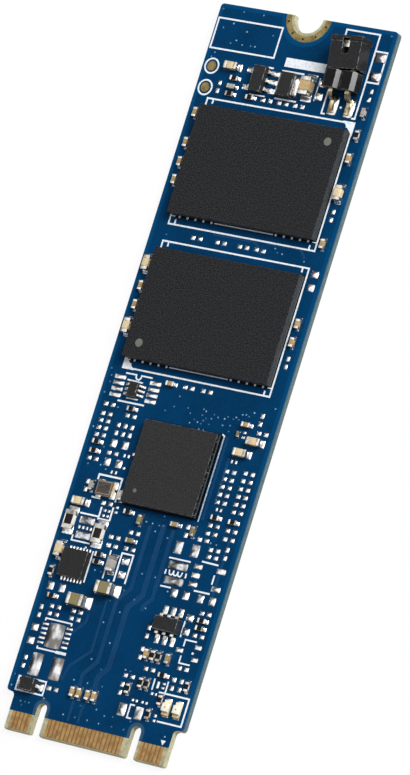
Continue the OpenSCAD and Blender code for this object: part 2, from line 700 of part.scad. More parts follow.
// A pin's side view: the shaft through the header, a sloping leg and a foot on its land
module pin_profile() {
    shaft_z = board_t + pin_rise;
    leg_y = -0.3;
    toe_y = leg_y - 0.55;
    difference() {
        union() {
            translate([0, shaft_z]) rotate(header_tilt) translate([leg_y, -pin_w / 2])
                square([pin_tip - leg_y, pin_w]);
            polygon([[leg_y, shaft_z + pin_w / 2 - 0.02], [leg_y - 0.45, shaft_z - 0.05], [toe_y - 0.3, seat_z],
                [toe_y + pin_w - 0.2, seat_z], [leg_y, shaft_z - pin_w / 2 - 0.05]]);
            translate([toe_y - foot_l + 0.2, seat_z]) square([foot_l, pin_w]);
        }
    }
}

module header_pins() {
    color("#b9a36a") for (s = [-1, 1])
        translate([header_x + s * pin_pitch / 2 - pin_w / 2, place_y(header_y), 0])
            rotate([90, 0, 90]) linear_extrude(pin_w) pin_profile();
}

// The jumper: a housing with a collar, two pin passages and a window over the clip
collar_l = 0.62;
collar_proud = 0.1;
jumper_shift = 0.1;
window = [0.8, 1.5];
floor_t = 0.4;
module jumper_frame() {
    header_frame() translate([jumper_shift, header_l + jumper_gap, 0]) rotate(jumper_turn) children();
}

module jumper_housing() {
    color("#222223") jumper_frame() difference() {
        union() {
            translate([-jumper_w / 2, 0, -jumper_h / 2]) cube([jumper_w, jumper_l, jumper_h]);
            translate([-jumper_w / 2 - collar_proud, jumper_l - collar_l, -jumper_h / 2 - collar_proud])
                cube([jumper_w + 2 * collar_proud, collar_l, jumper_h + 2 * collar_proud]);
        }
        for (s = [-1, 1]) translate([s * pin_pitch / 2 - passage_w / 2, -1, -passage_w / 2])
            cube([passage_w, jumper_l - floor_t + 1, passage_w]);
        translate([-pin_pitch / 2, jumper_l - floor_t - window[1], -passage_w / 2])
            cube([pin_pitch, window[1], passage_w]);
        translate([-window[0] / 2, jumper_l - floor_t - window[1], 0]) cube([window[0], window[1] + 0.15, jumper_h]);
    }
}

// Clip: a strip across the closed end, with a leaf above and below each pin
module jumper_clip() {
    leaf_w = 0.6;
    span = pin_pitch + leaf_w;
    y1 = jumper_l - floor_t;
    z1 = passage_w / 2;
    color("#b49a62") jumper_frame() {
        translate([-span / 2, y1 - clip_t, -z1]) cube([span, clip_t, 2 * z1]);
        translate([-span / 2, y1 - 0.7, z1 - clip_t]) cube([span, 0.7, clip_t]);
        for (s = [-1, 1], t = [-1, 1])
            translate([s * pin_pitch / 2 - leaf_w / 2, 0.3, t * (z1 - clip_t / 2) - clip_t / 2])
                cube([leaf_w, y1 - 0.3, clip_t]);
    }
}

// Two-ended chips: a body between two end caps that stand on their lands
module chip_body(size) {
    core = size[0] * (1 - 2 * cap_share);
    translate([-core / 2, -size[1] / 2 + cap_proud, seat_z + cap_proud])
        cube([core, size[1] - 2 * cap_proud, size[2] - 2 * cap_proud]);
}

module chip_caps(size) {
    for (s = [-1, 1]) translate([s * size[0] * (1 - cap_share) / 2, 0, 0])
        block(size[0] * cap_share, size[1], seat_z, seat_z + size[2]);
}

module capacitors_small() {
    color("#c5a878") {
        at_each(small_capacitors_at) chip_body(size_0402);
        at_each(tiny_capacitors_at) chip_body(size_0201);
    }
}

module capacitors_small_caps() {
    color("#d8d2c4") {
        at_each(small_capacitors_at) chip_caps(size_0402);
        at_each(tiny_capacitors_at) chip_caps(size_0201);
    }
}

module capacitors_middle() {
    color("#d3b680") at_each(middle_capacitors_at) chip_body(size_0603);
}

module capacitors_middle_caps() {
    color("#dcd8ce") at_each(middle_capacitors_at) chip_caps(size_0603);
}

module capacitors_large() {
    color("#8a8054") at_each(large_capacitors_at) chip_body(size_0805);
}

module capacitors_large_caps() {
    color("#d4cfc0") at_each(large_capacitors_at) chip_caps(size_0805);
}

module resistors() {
    color("#1c1a1a") at_each(resistors_at) chip_body(size_r0402);
}

module resistors_caps() {
    color("#dadada") at_each(resistors_at) chip_caps(size_r0402);
}

module bead_bodies() {
    color("#b9b3a9") {
        at_each(small_beads_at) chip_body(size_0402);
        at_each(middle_beads_at) chip_body(size_0603);
    }
}

module bead_caps() {
    color("#d6d4d0") {
        at_each(small_beads_at) chip_caps(size_0402);
        at_each(middle_beads_at) chip_caps(size_0603);
    }
}

// Low-ohm resistors: a white ceramic body, a black coat on top and tin ends
coat = [1.15, 0.88];
coat_t = 0.03;
module shunt_bodies() {
    color("#e6e2da") at_each(shunts_at) chip_body(size_shunt);
}

module shunt_coats() {
    top = seat_z + size_shunt[2] - cap_proud;
    coat_l = min(coat[0], size_shunt[0] * (1 - 2 * cap_share));
    color("#1d1a18") at_each(shunts_at) block(coat_l, coat[1], top, top + coat_t);
}

module shunt_caps() {
    color("#dcdad6") at_each(shunts_at) chip_caps(size_shunt);
}

// Light-emitting diodes: a thin base, a lens and two end terminals
led_base_t = 0.2;
led_end = 0.3;
module led_bases() {
    color("#e9e0c4") at_each(leds_at)
        block(size_led[0] - 2 * led_end, size_led[1], seat_z, seat_z + led_base_t);
}

module led_lenses() {
    top = seat_z + size_led[2];
    lens_l = size_led[0] - 2 * led_end;
    color("#efe6cc") at_each(leds_at) translate([0, size_led[1] / 2, 0]) rotate([90, 0, 0])
        linear_extrude(size_led[1]) polygon([[-lens_l / 2, seat_z + led_base_t],
            [lens_l / 2, seat_z + led_base_t], [lens_l / 2 - 0.08, top], [0.08 - lens_l / 2, top]]);
}

module led_terminals() {
    color("#d9d3bd") at_each(leds_at) for (s = [-1, 1])
        translate([s * (size_led[0] - led_end) / 2, 0, 0])
            block(led_end, size_led[1], seat_z, seat_z + led_base_t + 0.03);
}

// Power inductor: a moulded body with a bevelled top between two end terminals
terminal_t = 0.1;
module inductor_body() {
    w = size_inductor[0] / 2 - terminal_t;
    b = 0.15;
    top = seat_z + size_inductor[2];
    color("#2b2b2c") at_xy(inductor_at) translate([0, size_inductor[1] / 2, 0]) rotate([90, 0, 0])
        linear_extrude(size_inductor[1])
            polygon([[-w, seat_z], [w, seat_z], [w, top - b], [w - b, top], [b - w, top], [-w, top - b]]);
}

module inductor_terminals() {
    color("#c8c6c0") at_xy(inductor_at) for (s = [-1, 1])
        translate([s * (size_inductor[0] - terminal_t) / 2, 0, 0])
            block(terminal_t, size_inductor[1] - 0.5, seat_z, seat_z + size_inductor[2] - 0.15);
}

// Oscillator: a ceramic base with a metal lid
lid_t = 0.12;
lid_in = 0.12;
module oscillator_base() {
    color("#8b7d55") at_xy(oscillator_at)
        block(size_oscillator[0], size_oscillator[1], seat_z, seat_z + size_oscillator[2] - lid_t);
}

module oscillator_lid() {
    top = seat_z + size_oscillator[2];
    color("#4d4740") at_xy(oscillator_at)
        block(size_oscillator[0] - 2 * lid_in, size_oscillator[1] - 2 * lid_in, top - lid_t, top);
}

module regulator_body() {
    color("#262627") at_xy(regulator_at) difference() {
        block(regulator_w, regulator_w, seat_z, seat_z + regulator_h);
        for (s = [-1, 1], k = [-3:3]) translate([k * 0.4, s * regulator_w / 2, 0])
            block(0.22, 0.5, 0, seat_z + 0.2);
    }
}

module regulator_leads() {
    color("#d4d4d2") at_xy(regulator_at) for (s = [-1, 1], k = [-3:3])
        translate([k * 0.4, s * (regulator_w / 2 - 0.125), 0]) block(0.22, 0.25, seat_z, seat_z + 0.2);
}

// Moulded bodies with sloping sides, on a standoff above the lands
draft = 0.08;
module drafted_body(size) {
    z0 = seat_z + 0.05;
    z1 = seat_z + size[2];
    mid = (z0 + z1) / 2;
    w = size[0] / 2;
    translate([0, size[1] / 2, 0]) rotate([90, 0, 0]) linear_extrude(size[1])
        polygon([[draft - w, z0], [w - draft, z0], [w, mid], [w - draft, z1], [draft - w, z1], [-w, mid]]);
}

// A lead that leaves the body at half height, steps down and ends in a flat foot
module lead(size, reach, w) {
    mid = seat_z + (size[2] + 0.05) / 2;
    x0 = size[0] / 2;
    x1 = x0 + reach * 0.4;
    x2 = x0 + reach;
    translate([0, w / 2, 0]) rotate([90, 0, 0]) linear_extrude(w)
        polygon([[x0, mid - lead_t / 2], [x1 - lead_t, mid - lead_t / 2], [x1 - lead_t, seat_z], [x2, seat_z],
            [x2, seat_z + lead_t], [x1, seat_z + lead_t], [x1, mid + lead_t / 2], [x0, mid + lead_t / 2]]);
}

module driver_bodies() {
    color("#222223") at_each([driver_three_at, driver_six_at]) drafted_body(size_driver);
}

module driver_leads() {
    color("#cfcfcc") {
        at_each([driver_three_at, driver_six_at]) for (k = [-1:1])
            translate([0, k * driver_pitch, 0]) lead(size_driver, 0.7, 0.42);
        at_each([driver_three_at]) for (k = [-1, 1])
            translate([0, k * driver_pitch, 0]) rotate(180) lead(size_driver, 0.7, 0.42);
        at_each([driver_six_at]) for (k = [-1:1])
            translate([0, k * driver_pitch, 0]) rotate(180) lead(size_driver, 0.7, 0.42);
    }
}

module gate_body() {
    color("#2a2624") at_xy(gate_at) drafted_body(size_gate);
}

module gate_leads() {
    color("#d2d2cf") at_xy(gate_at) for (s = [0, 180], k = [-1:1])
        rotate(s) translate([0, k * gate_pitch, 0]) lead(size_gate, 0.4, 0.22);
}

module diode_body() {
    color("#1e1e1f") at_xy(diode_at) drafted_body(size_diode);
}

module diode_leads() {
    color("#d0d0cd") at_xy(diode_at) for (s = [0, 180]) rotate(s) lead(size_diode, 0.5, 0.35);
}

board_laminate();
solder_mask_top();
solder_mask_bottom();
edge_contacts_top();
edge_contacts_bottom();
mounting_pad_top();
mounting_pad_bottom();
mounting_pad_vias();
silkscreen_lines();
silkscreen_fills();
test_pads();
chip_lands();
wide_lands();
fine_lands();
flash_package_upper();
flash_package_lower();
flash_substrates();
flash_solder_balls();
controller_package();
controller_substrate();
controller_solder_balls();
header_housing();
header_pins();
jumper_housing();
jumper_clip();
inductor_body();
inductor_terminals();
oscillator_base();
oscillator_lid();
regulator_body();
regulator_leads();
driver_bodies();
driver_leads();
gate_body();
gate_leads();
diode_body();
diode_leads();
led_bases();
led_lenses();
led_terminals();
capacitors_small();
capacitors_small_caps();
capacitors_middle();
capacitors_middle_caps();
capacitors_large();
capacitors_large_caps();
resistors();
resistors_caps();
shunt_bodies();
shunt_coats();
shunt_caps();
bead_bodies();
bead_caps();
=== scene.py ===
import math
import random

import bmesh
import bpy
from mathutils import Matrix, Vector


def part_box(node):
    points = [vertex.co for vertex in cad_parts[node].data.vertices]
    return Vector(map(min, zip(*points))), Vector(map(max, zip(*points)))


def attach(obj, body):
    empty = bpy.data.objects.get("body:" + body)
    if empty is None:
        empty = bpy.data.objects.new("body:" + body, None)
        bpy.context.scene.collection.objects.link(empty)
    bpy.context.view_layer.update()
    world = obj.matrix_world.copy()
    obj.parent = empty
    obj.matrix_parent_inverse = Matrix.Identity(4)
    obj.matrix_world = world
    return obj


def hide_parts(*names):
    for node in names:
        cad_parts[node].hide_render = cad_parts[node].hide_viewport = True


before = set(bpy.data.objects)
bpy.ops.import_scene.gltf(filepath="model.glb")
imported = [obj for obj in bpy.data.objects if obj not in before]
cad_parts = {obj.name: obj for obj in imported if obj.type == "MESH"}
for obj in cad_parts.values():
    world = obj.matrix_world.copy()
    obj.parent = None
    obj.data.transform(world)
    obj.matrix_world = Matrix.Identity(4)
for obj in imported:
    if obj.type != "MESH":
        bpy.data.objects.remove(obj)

mm = 0.001
rng = random.Random(11)
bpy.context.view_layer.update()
scene = bpy.context.scene
print("frame loaded,", len(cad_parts), "nodes")


def boxMm(node):
    # lowest and highest corner of a CAD node, in millimetres
    return [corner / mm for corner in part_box(node)]


def tint(red, green, blue):
    # screen colour, 0 to 255, to linear light
    linear = []
    for share in (red / 255, green / 255, blue / 255):
        linear.append(((share + 0.055) / 1.055) ** 2.4 if share > 0.04045 else share / 12.92)
    return (*linear, 1.0)


class Wire:
    # one socket that can stand in an expression; each sign adds a Math node
    def __init__(self, finish, socket):
        self.finish = finish
        self.socket = socket

    def math(self, operation, *values):
        return self.finish.node("ShaderNodeMath", {"operation": operation}, dict(enumerate(values)))

    def __add__(self, other):
        return self.math("ADD", self, other)

    __radd__ = __add__

    def __sub__(self, other):
        return self.math("SUBTRACT", self, other)

    def __rsub__(self, other):
        return self.math("SUBTRACT", other, self)

    def __mul__(self, other):
        return self.math("MULTIPLY", self, other)

    __rmul__ = __mul__

    def __pow__(self, other):
        return self.math("POWER", self, other)

    def __rpow__(self, other):
        return self.math("POWER", other, self)

    def __abs__(self):
        return self.math("ABSOLUTE", self)

    def __gt__(self, other):
        return self.math("GREATER_THAN", self, other)

    def __lt__(self, other):
        return self.math("LESS_THAN", self, other)

    def atLeast(self, other):
        return self.math("MAXIMUM", self, other)

    def atMost(self, other):
        return self.math("MINIMUM", self, other)


class Finish:
    # a material or a sky whose nodes all come from one method
    def __init__(self, name, sky=False, **fixed):
        self.material = bpy.data.worlds.new(name) if sky else bpy.data.materials.new(name)
        self.material.use_nodes = True
        self.tree = self.material.node_tree
        self.shader = self.tree.nodes["Background" if sky else "Principled BSDF"]
        for key, value in fixed.items():
            self.shader.inputs[key.replace("_", " ")].default_value = value

    def node(self, kind, settings=None, inputs=None, output=0):
        made = self.tree.nodes.new(kind)
        for key, value in (settings or {}).items():
            setattr(made, key, value)
        for key, value in (inputs or {}).items():
            if isinstance(value, Wire):
                self.tree.links.new(value.socket, made.inputs[key])
            else:
                made.inputs[key].default_value = value
        return Wire(self, made.outputs[output])

    def feed(self, **wires):
        for key, wire in wires.items():
            self.tree.links.new(wire.socket, self.shader.inputs[key.replace("_", " ")])

    def place(self):
        # position on the part, in millimetres
        spot = self.node("ShaderNodeTexCoord", output="Object")
        return self.node("ShaderNodeVectorMath", {"operation": "SCALE"}, {0: spot, 3: 1 / mm})

    def axes(self, letters):
        spot = self.place()
        return [self.node("ShaderNodeSeparateXYZ", None, {0: spot}, letter) for letter in letters]

    def distance(self, x, y, atX, atY):
        away = self.node("ShaderNodeCombineXYZ", None, {0: x - atX, 1: y - atY})
        return self.node("ShaderNodeVectorMath", {"operation": "LENGTH"}, {0: away}, 1)

    def noise(self, perMm, detail=2.0, stretch=None):
        spot = self.place()
        if stretch:
            spot = self.node("ShaderNodeVectorMath", {"operation": "MULTIPLY"}, {0: spot, 1: stretch})
        return self.node("ShaderNodeTexNoise", None, {"Vector": spot, "Scale": perMm, "Detail": detail})

    def ramp(self, value, low, high, start=0.0, end=1.0):
        return self.node("ShaderNodeMapRange", {"interpolation_type": "SMOOTHSTEP"},
                         {0: value, 1: low, 2: high, 3: start, 4: end})

    def blend(self, amount, low, high):
        return self.node("ShaderNodeMix", {"data_type": "RGBA"}, {0: amount, 6: low, 7: high}, 2)

    def mottle(self, cloud, spread, light, dark):
        # two colours that a noise mixes
        return self.blend(self.ramp(cloud, *spread), tint(*light), tint(*dark))

    def tone(self):
        # the number from 0 to 1 that each chip of a group carries
        return self.node("ShaderNodeAttribute", {"attribute_name": "tone"}, output="Fac")

    def edge(self):
        # 1 on the rounded edges of a piece, 0 on its flat faces
        return self.node("ShaderNodeAttribute", {"attribute_name": "edge"}, output="Fac")

    def bump(self, height, depthMm, strength=0.5):
        return self.node("ShaderNodeBump", None,
                         {"Height": height, "Distance": depthMm * mm, "Strength": strength})


def mergedMesh(nodes, weld=0.0004):
    # the CAD nodes in one work mesh, with points closer than the weld joined
    work = bmesh.new()
    for node in nodes:
        work.from_mesh(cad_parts[node].data)
    bmesh.ops.remove_doubles(work, verts=work.verts, dist=weld * mm)
    return work


def islandsOf(work):
    # groups of joined vertices
    seen, groups = set(), []
    for first in work.verts:
        if first in seen:
            continue
        group, todo = [], [first]
        seen.add(first)
        while todo:
            vert = todo.pop()
            group.append(vert)
            for edge in vert.link_edges:
                other = edge.other_vert(vert)
                if other not in seen:
                    seen.add(other)
                    todo.append(other)
        groups.append(group)
    return groups


def boxOf(verts):
    low = Vector([min(v.co[k] for v in verts) for k in range(3)])
    high = Vector([max(v.co[k] for v in verts) for k in range(3)])
    return low, high


def boxesOf(*nodes):
    # the box of each separate solid in the CAD nodes
    work = mergedMesh(nodes)
    boxes = [boxOf(group) for group in islandsOf(work)]
    work.free()
    return boxes


def makeMask():
    # blue mask over copper, paler where the laminate lies bare under it
    look = {
        "deep": (0, 54, 94), "dark": (0, 47, 83), "pale": (0, 69, 114), "shine": 0.05, "rough": 0.42,
        "roughMore": 0.12, "cloud": 0.22, "cloudSpread": (0.35, 0.68), "weave": 2.2, "weaveLong": 6.0,
        "weaveSpread": (0.85, 1.3), "weaveShare": 0.35, "weaveDepth": 0.004,
        "edgeMargin": 0.45, "edgeBlur": 0.06, "ringSpread": (3.2, 3.35), "bareShare": 0.8,
        "paintedShadow": (2, 9, 18), "paintedShadowSpread": (0.08, 0.34), "paintedShadowShare": 0.95,
        "thin": (60, 94, 118), "thinSpread": (0.85, 1.08), "thinShare": 0.65,
        "notchX": (5.625, -6.125), "notchY": -37.1,  # middles of the key notches' round ends
    }
    made = Finish("maskFinish", Specular_IOR_Level=look["shine"])
    x, y = made.axes("XY")
    boardHigh = boxMm("board_laminate")[1]
    bare = made.ramp(made.distance(x, y, 0, boardHigh.y), *look["ringSpread"], 1.0, 0.0)
    for value, far in ((abs(x), boardHigh.x), (y, boardHigh.y)):
        at = far - look["edgeMargin"]
        bare = bare.atLeast(made.ramp(value, at - look["edgeBlur"], at + look["edgeBlur"]))
    cloud = made.noise(look["cloud"], detail=3.0)
    weave = made.noise(look["weave"], stretch=(1.0, look["weaveLong"], 1.0))
    weave = weave + made.noise(look["weave"], stretch=(look["weaveLong"], 1.0, 1.0))
    base = made.mottle(cloud, look["cloudSpread"], look["deep"], look["dark"])
    woven = made.ramp(weave, *look["weaveSpread"], 0.0, look["weaveShare"])
    base = made.blend(woven, base, tint(*look["pale"]))
    base = made.blend(bare * look["bareShare"], base, tint(*look["pale"]))
    # painted shadow: the mask is darker in the gap round the ball-grid packages, where their shade falls
    for package in ("flash_package_upper", "flash_package_lower", "controller_package"):
        low, high = boxMm(package)
        across = abs(x - (low.x + high.x) / 2) - (high.x - low.x) / 2
        along = abs(y - (low.y + high.y) / 2) - (high.y - low.y) / 2
        paintedShadow = made.ramp(across.atLeast(along), *look["paintedShadowSpread"], look["paintedShadowShare"], 0.0)
        base = made.blend(paintedShadow, base, tint(*look["paintedShadow"]))
    # the mask thins out round the key notches
    past = (y - look["notchY"]).atLeast(0.0)
    for notchX in look["notchX"]:
        thin = made.ramp(made.distance(x, past, notchX, 0.0), *look["thinSpread"], look["thinShare"], 0.0)
        base = made.blend(thin, base, tint(*look["thin"]))
    made.feed(Base_Color=base, Roughness=look["rough"] + look["roughMore"] * cloud,
              Normal=made.bump(weave, look["weaveDepth"]))
    return made.material


def makeTrace():
    # mask over a copper run, a little lighter than round it
    look = {"light": (10, 68, 112), "dark": (4, 60, 104), "cloud": 0.5, "spread": (0.35, 0.65), "rough": 0.4,
            "shine": 0.25, "grain": 6.0, "depth": 0.004, "strength": 0.4}
    made = Finish("traceFinish", Roughness=look["rough"], Specular_IOR_Level=look["shine"])
    made.feed(Base_Color=made.mottle(made.noise(look["cloud"]), look["spread"], look["light"], look["dark"]),
              Normal=made.bump(made.noise(look["grain"]), look["depth"], look["strength"]))
    return made.material


def makeVia():
    # filled holes, most of them faint and a few bright
    look = {"faint": (26, 84, 126), "bright": (138, 172, 198), "rarity": 1.4, "rough": 0.3}
    made = Finish("viaFinish", Roughness=look["rough"])
    rare = made.tone() ** look["rarity"]
    made.feed(Base_Color=made.blend(rare, tint(*look["faint"]), tint(*look["bright"])))
    return made.material


def makeLaminate():
    # glass laminate: tan at its ends and notches, grey with a blue rim of mask along its long sides
    look = {
        "tan": ((152, 146, 114), (184, 179, 147)), "grey": ((46, 72, 76), (84, 106, 104)),
        "rim": (14, 62, 92), "rimSpread": (0.5, 0.66), "ply": 1.0, "plyStretch": (1.2, 1.2, 22.0),
        "plySpread": (0.35, 0.65),
        "fibre": 14.0, "fibreSpread": (0.55, 0.75), "fibreShare": 0.35, "fibreTint": (222, 220, 202),
        "sideSpread": (10.7, 10.85), "faceSpread": (0.765, 0.768), "under": (6, 40, 66), "ringReach": 2.76,
        "gap": (120, 96, 60), "contactsFrom": -39.82, "contactsTo": -37.93,
        "contactRows": ((8.0, 1.42), (-0.25, 4.67), (-8.25, 1.17)),  # middle and half length of each row
        "rough": 0.62, "depth": 0.02, "strength": 0.6,
    }
    made = Finish("laminateFinish", Roughness=look["rough"])
    x, y, z = made.axes("XYZ")
    plies = made.noise(look["ply"], detail=3.0, stretch=look["plyStretch"])
    fibre = made.noise(look["fibre"])
    tan = made.mottle(plies, look["plySpread"], *look["tan"])
    grey = made.mottle(plies, look["plySpread"], *look["grey"])
    grey = made.blend(made.ramp(z, *look["rimSpread"]), grey, tint(*look["rim"]))
    wall = made.blend(made.ramp(abs(x), *look["sideSpread"]), tan, grey)
    wall = made.blend(made.ramp(fibre, *look["fibreSpread"], 0.0, look["fibreShare"]), wall,
                      tint(*look["fibreTint"]))
    # on the top face it is brown between the contacts and dark under the mask's openings
    face = made.ramp(z, *look["faceSpread"])
    ringAway = made.distance(x, y, 0, boxMm("board_laminate")[1].y)
    covered = face * (y > look["contactsTo"]) * (ringAway > look["ringReach"])
    inRow = sum([abs(x - middle) < half for middle, half in look["contactRows"]])
    between = face * (y < look["contactsTo"]) * (y > look["contactsFrom"]) * inRow
    wall = made.blend(covered, wall, tint(*look["under"]))
    made.feed(Base_Color=made.blend(between, wall, tint(*look["gap"])),
              Normal=made.bump(plies + fibre, look["depth"], look["strength"]))
    return made.material


def makeGold(name, light, dark, rough):
    # plated metal with worn patches and fine wiping marks
    look = {"worn": 1.3, "wornSpread": (0.35, 0.7), "wipe": 3.0, "wipeStretch": (6.0, 0.5, 1.0),
            "roughMore": 0.16, "depth": 0.004, "strength": 0.4}
    made = Finish(name, Metallic=1.0)
    wipe = made.noise(look["wipe"], stretch=look["wipeStretch"])
    worn = made.noise(look["worn"], detail=3.0)
    made.feed(Base_Color=made.mottle(worn, look["wornSpread"], light, dark),
              Roughness=rough + look["roughMore"] * wipe,
              Normal=made.bump(wipe, look["depth"], look["strength"]))
    return made.material


def makeSilk():
    # white print, thinner and greyer in the line beside the controller
    look = {"white": (238, 242, 246), "worn": (196, 210, 226), "thin": (150, 166, 184), "patch": 4.0,
            "wornSpread": (0.45, 0.8), "thinSpread": (0.3, 0.6), "thinLeast": 0.5, "reach": 0.6, "rough": 0.6,
            "depth": 0.01}
    made = Finish("silkFinish", Roughness=look["rough"])
    patch = made.noise(look["patch"], detail=3.0)
    x, y = made.axes("XY")
    low, high = boxMm("controller_package")
    thin = (x > high.x) * (x < high.x + look["reach"]) * (y > low.y - look["reach"]) * (y < high.y)
    thin = thin * made.ramp(patch, *look["thinSpread"], look["thinLeast"], 1.0)
    ink = made.mottle(patch, look["wornSpread"], look["white"], look["worn"])
    made.feed(Base_Color=made.blend(thin, ink, tint(*look["thin"])), Normal=made.bump(patch, look["depth"]))
    return made.material


def makeSolder(name, light, dark, rough):
    # bright metal; where the tone is high, dull swirls run through it
    look = {"patch": 2.6, "patchSpread": (0.42, 0.72), "frost": 11.0, "swirl": 0.85,
            "swirlStretch": (1.7, 0.8, 1.0), "swirlSpread": (0.34, 0.64), "swirlLeast": 0.25,
            "dull": (116, 112, 109), "roughMore": 0.2, "depth": 0.006}
    made = Finish(name, Metallic=1.0)
    patch = made.noise(look["patch"], detail=3.0)
    swirl = made.noise(look["swirl"], detail=1.0, stretch=look["swirlStretch"])
    swirl = made.ramp(swirl, *look["swirlSpread"], look["swirlLeast"], 1.0)
    metal = made.mottle(patch, look["patchSpread"], light, dark)
    made.feed(Base_Color=made.blend(made.tone() * swirl, metal, tint(*look["dull"])),
              Roughness=rough + look["roughMore"] * patch,
              Normal=made.bump(made.noise(look["frost"]), look["depth"]))
    return made.material


def jumperStepShadow():
    # where the painted shadow line behind the jumper's collar step lies: its turn, and its distance along the
    # pins in millimetres
    look = {"turn": math.radians(4.5), "collar": 0.69}
    away = max(v.co.y * math.cos(look["turn"]) - v.co.x * math.sin(look["turn"])
               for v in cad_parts["jumper_housing"].data.vertices)
    return look["turn"], away / mm - look["collar"]


def makeMoulding(name, base, fleck, rough, shine, wearAndGlint, dots=(), wall=None, paintedSheenShare=0.0, stepShadow=None):
    # black moulding with a fine grain and rubbed edges, lightened partly as wear and partly as a painted
    # glint; dots are moulded marks (x, y, radius, colour), wall is a side painted as lit or shaded (height
    # under which it starts, its two colours, share of painted glint specks)
    look = {
        "grain": 7.5, "grainSpread": (0.36, 0.66), "specks": 17.0, "speckSpread": (0.66, 0.76),
        "speckShare": 0.5, "speck": (86, 87, 88), "dotInside": 0.05, "dotOutside": 0.02,
        "chips": 5.0, "chipSpread": (0.62, 0.66), "chip": (150, 152, 154), "wallBlur": 0.05,
        "stepShadow": (2, 2, 2), "stepShadowSpread": (0.05, 0.1), "stepShadowShare": 0.9,
        "paintedSheen": (128, 128, 128), "paintedSheenSide": (0.7, 0.0, 0.7), "paintedSheenSpread": (0.86, 0.95),
        "rubGlint": 2.6, "rubGlintSpread": (0.4, 0.6), "rubbedGlint": (150, 151, 153), "rubGlintMetal": 0.8, "rubGlintPolish": 0.3,
        "roughMore": 0.14, "speckHeight": 0.6, "depth": 0.02, "strength": 0.6,
    }
    made = Finish(name, Specular_IOR_Level=shine)
    grain = made.noise(look["grain"], detail=3.0)
    specks = made.noise(look["specks"], detail=1.0)
    colour = made.mottle(grain, look["grainSpread"], base, fleck)
    colour = made.blend(made.ramp(specks, *look["speckSpread"], 0.0, look["speckShare"]), colour,
                        tint(*look["speck"]))
    x, y, z = made.axes("XYZ")
    for dotX, dotY, radius, dotColour in dots:
        dot = made.ramp(made.distance(x, y, dotX, dotY), radius - look["dotInside"],
                        radius + look["dotOutside"], 1.0, 0.0)
        colour = made.blend(dot, colour, tint(*dotColour))
    # painted light and shade: the walls under the top get their own colours, lighter as a lit side or near
    # black as a shaded side, with painted glint specks
    if wall:
        under, wallDark, wallLight, chipped = wall
        chips = made.ramp(made.noise(look["chips"]), *look["chipSpread"], 0.0, chipped)
        side = made.blend(chips, made.mottle(grain, look["grainSpread"], wallDark, wallLight),
                          tint(*look["chip"]))
        colour = made.blend(made.ramp(z, under, under + look["wallBlur"]), side, colour)
    # painted shadow: a dark line on the jumper's top just behind the collar's step, where the step's shadow
    # falls
    if stepShadow:
        turn, at = stepShadow
        along = math.cos(turn) * y - math.sin(turn) * x
        dark = made.ramp(abs(along - at), *look["stepShadowSpread"], look["stepShadowShare"], 0.0)
        colour = made.blend(dark, colour, tint(*look["stepShadow"]))
    # painted sheen: faces turned up and to the right, towards the lamp there, are painted lighter
    if paintedSheenShare:
        normal = made.node("ShaderNodeNewGeometry", output="Normal")
        facing = made.node("ShaderNodeVectorMath", {"operation": "DOT_PRODUCT"},
                           {0: normal, 1: look["paintedSheenSide"]}, 1)
        colour = made.blend(made.ramp(facing, *look["paintedSheenSpread"], 0.0, paintedSheenShare), colour,
                            tint(*look["paintedSheen"]))
    # rubbed edges: lighter, metallic and smoother, partly as wear and partly as a painted glint
    rubbedGlint = made.edge() * made.ramp(made.noise(look["rubGlint"], detail=4.0), *look["rubGlintSpread"]) * wearAndGlint
    made.feed(Base_Color=made.blend(rubbedGlint, colour, tint(*look["rubbedGlint"])),
              Metallic=rubbedGlint * look["rubGlintMetal"],
              Roughness=rough + look["roughMore"] * grain - look["rubGlintPolish"] * rubbedGlint,
              Normal=made.bump(grain + look["speckHeight"] * specks, look["depth"], look["strength"]))
    return made.material


def makeCeramic(name, pale, deep, rough=0.4, shine=0.5):
    # fired body whose tone, from pale to deep, goes by the chip
    look = {"patch": 3.5, "patchSpread": (0.4, 0.75), "patchShare": 0.3, "darker": 0.8, "grain": 16.0,
            "roughMore": 0.15, "depth": 0.008}
    made = Finish(name, Specular_IOR_Level=shine)
    grain = made.noise(look["grain"])
    body = made.blend(made.tone(), tint(*pale), tint(*deep))
    patch = made.noise(look["patch"], detail=3.0)
    patch = made.ramp(patch, *look["patchSpread"], 0.0, look["patchShare"])
    made.feed(Base_Color=made.blend(patch, body, tint(*[part * look["darker"] for part in deep])),
              Roughness=rough + look["roughMore"] * grain, Normal=made.bump(grain, look["depth"]))
    return made.material


def makeResistor():
    # black coat on a white ceramic chip, whose side shows
    look = {"coat": ((6, 6, 8), (26, 18, 16)), "side": (214, 208, 198), "grey": (150, 140, 128),
            "greyShare": 0.4, "coatFrom": 0.07, "coatFull": 0.03, "patch": 3.5, "grain": 16.0,
            "spread": (0.4, 0.7), "shine": 0.15, "rough": 0.3, "roughMore": 0.15, "depth": 0.008}
    made = Finish("resistorFinish", Specular_IOR_Level=look["shine"])
    height, = made.axes("Z")
    top = boxMm("resistors")[1].z
    grain = made.noise(look["grain"])
    coat = made.mottle(made.noise(look["patch"], detail=3.0), look["spread"], *look["coat"])
    side = made.blend(made.ramp(grain, *look["spread"], 0.0, look["greyShare"]), tint(*look["side"]),
                      tint(*look["grey"]))
    coated = made.ramp(height, top - look["coatFrom"], top - look["coatFull"])
    made.feed(Base_Color=made.blend(coated, side, coat), Roughness=look["rough"] + look["roughMore"] * grain,
              Normal=made.bump(grain, look["depth"]))
    return made.material


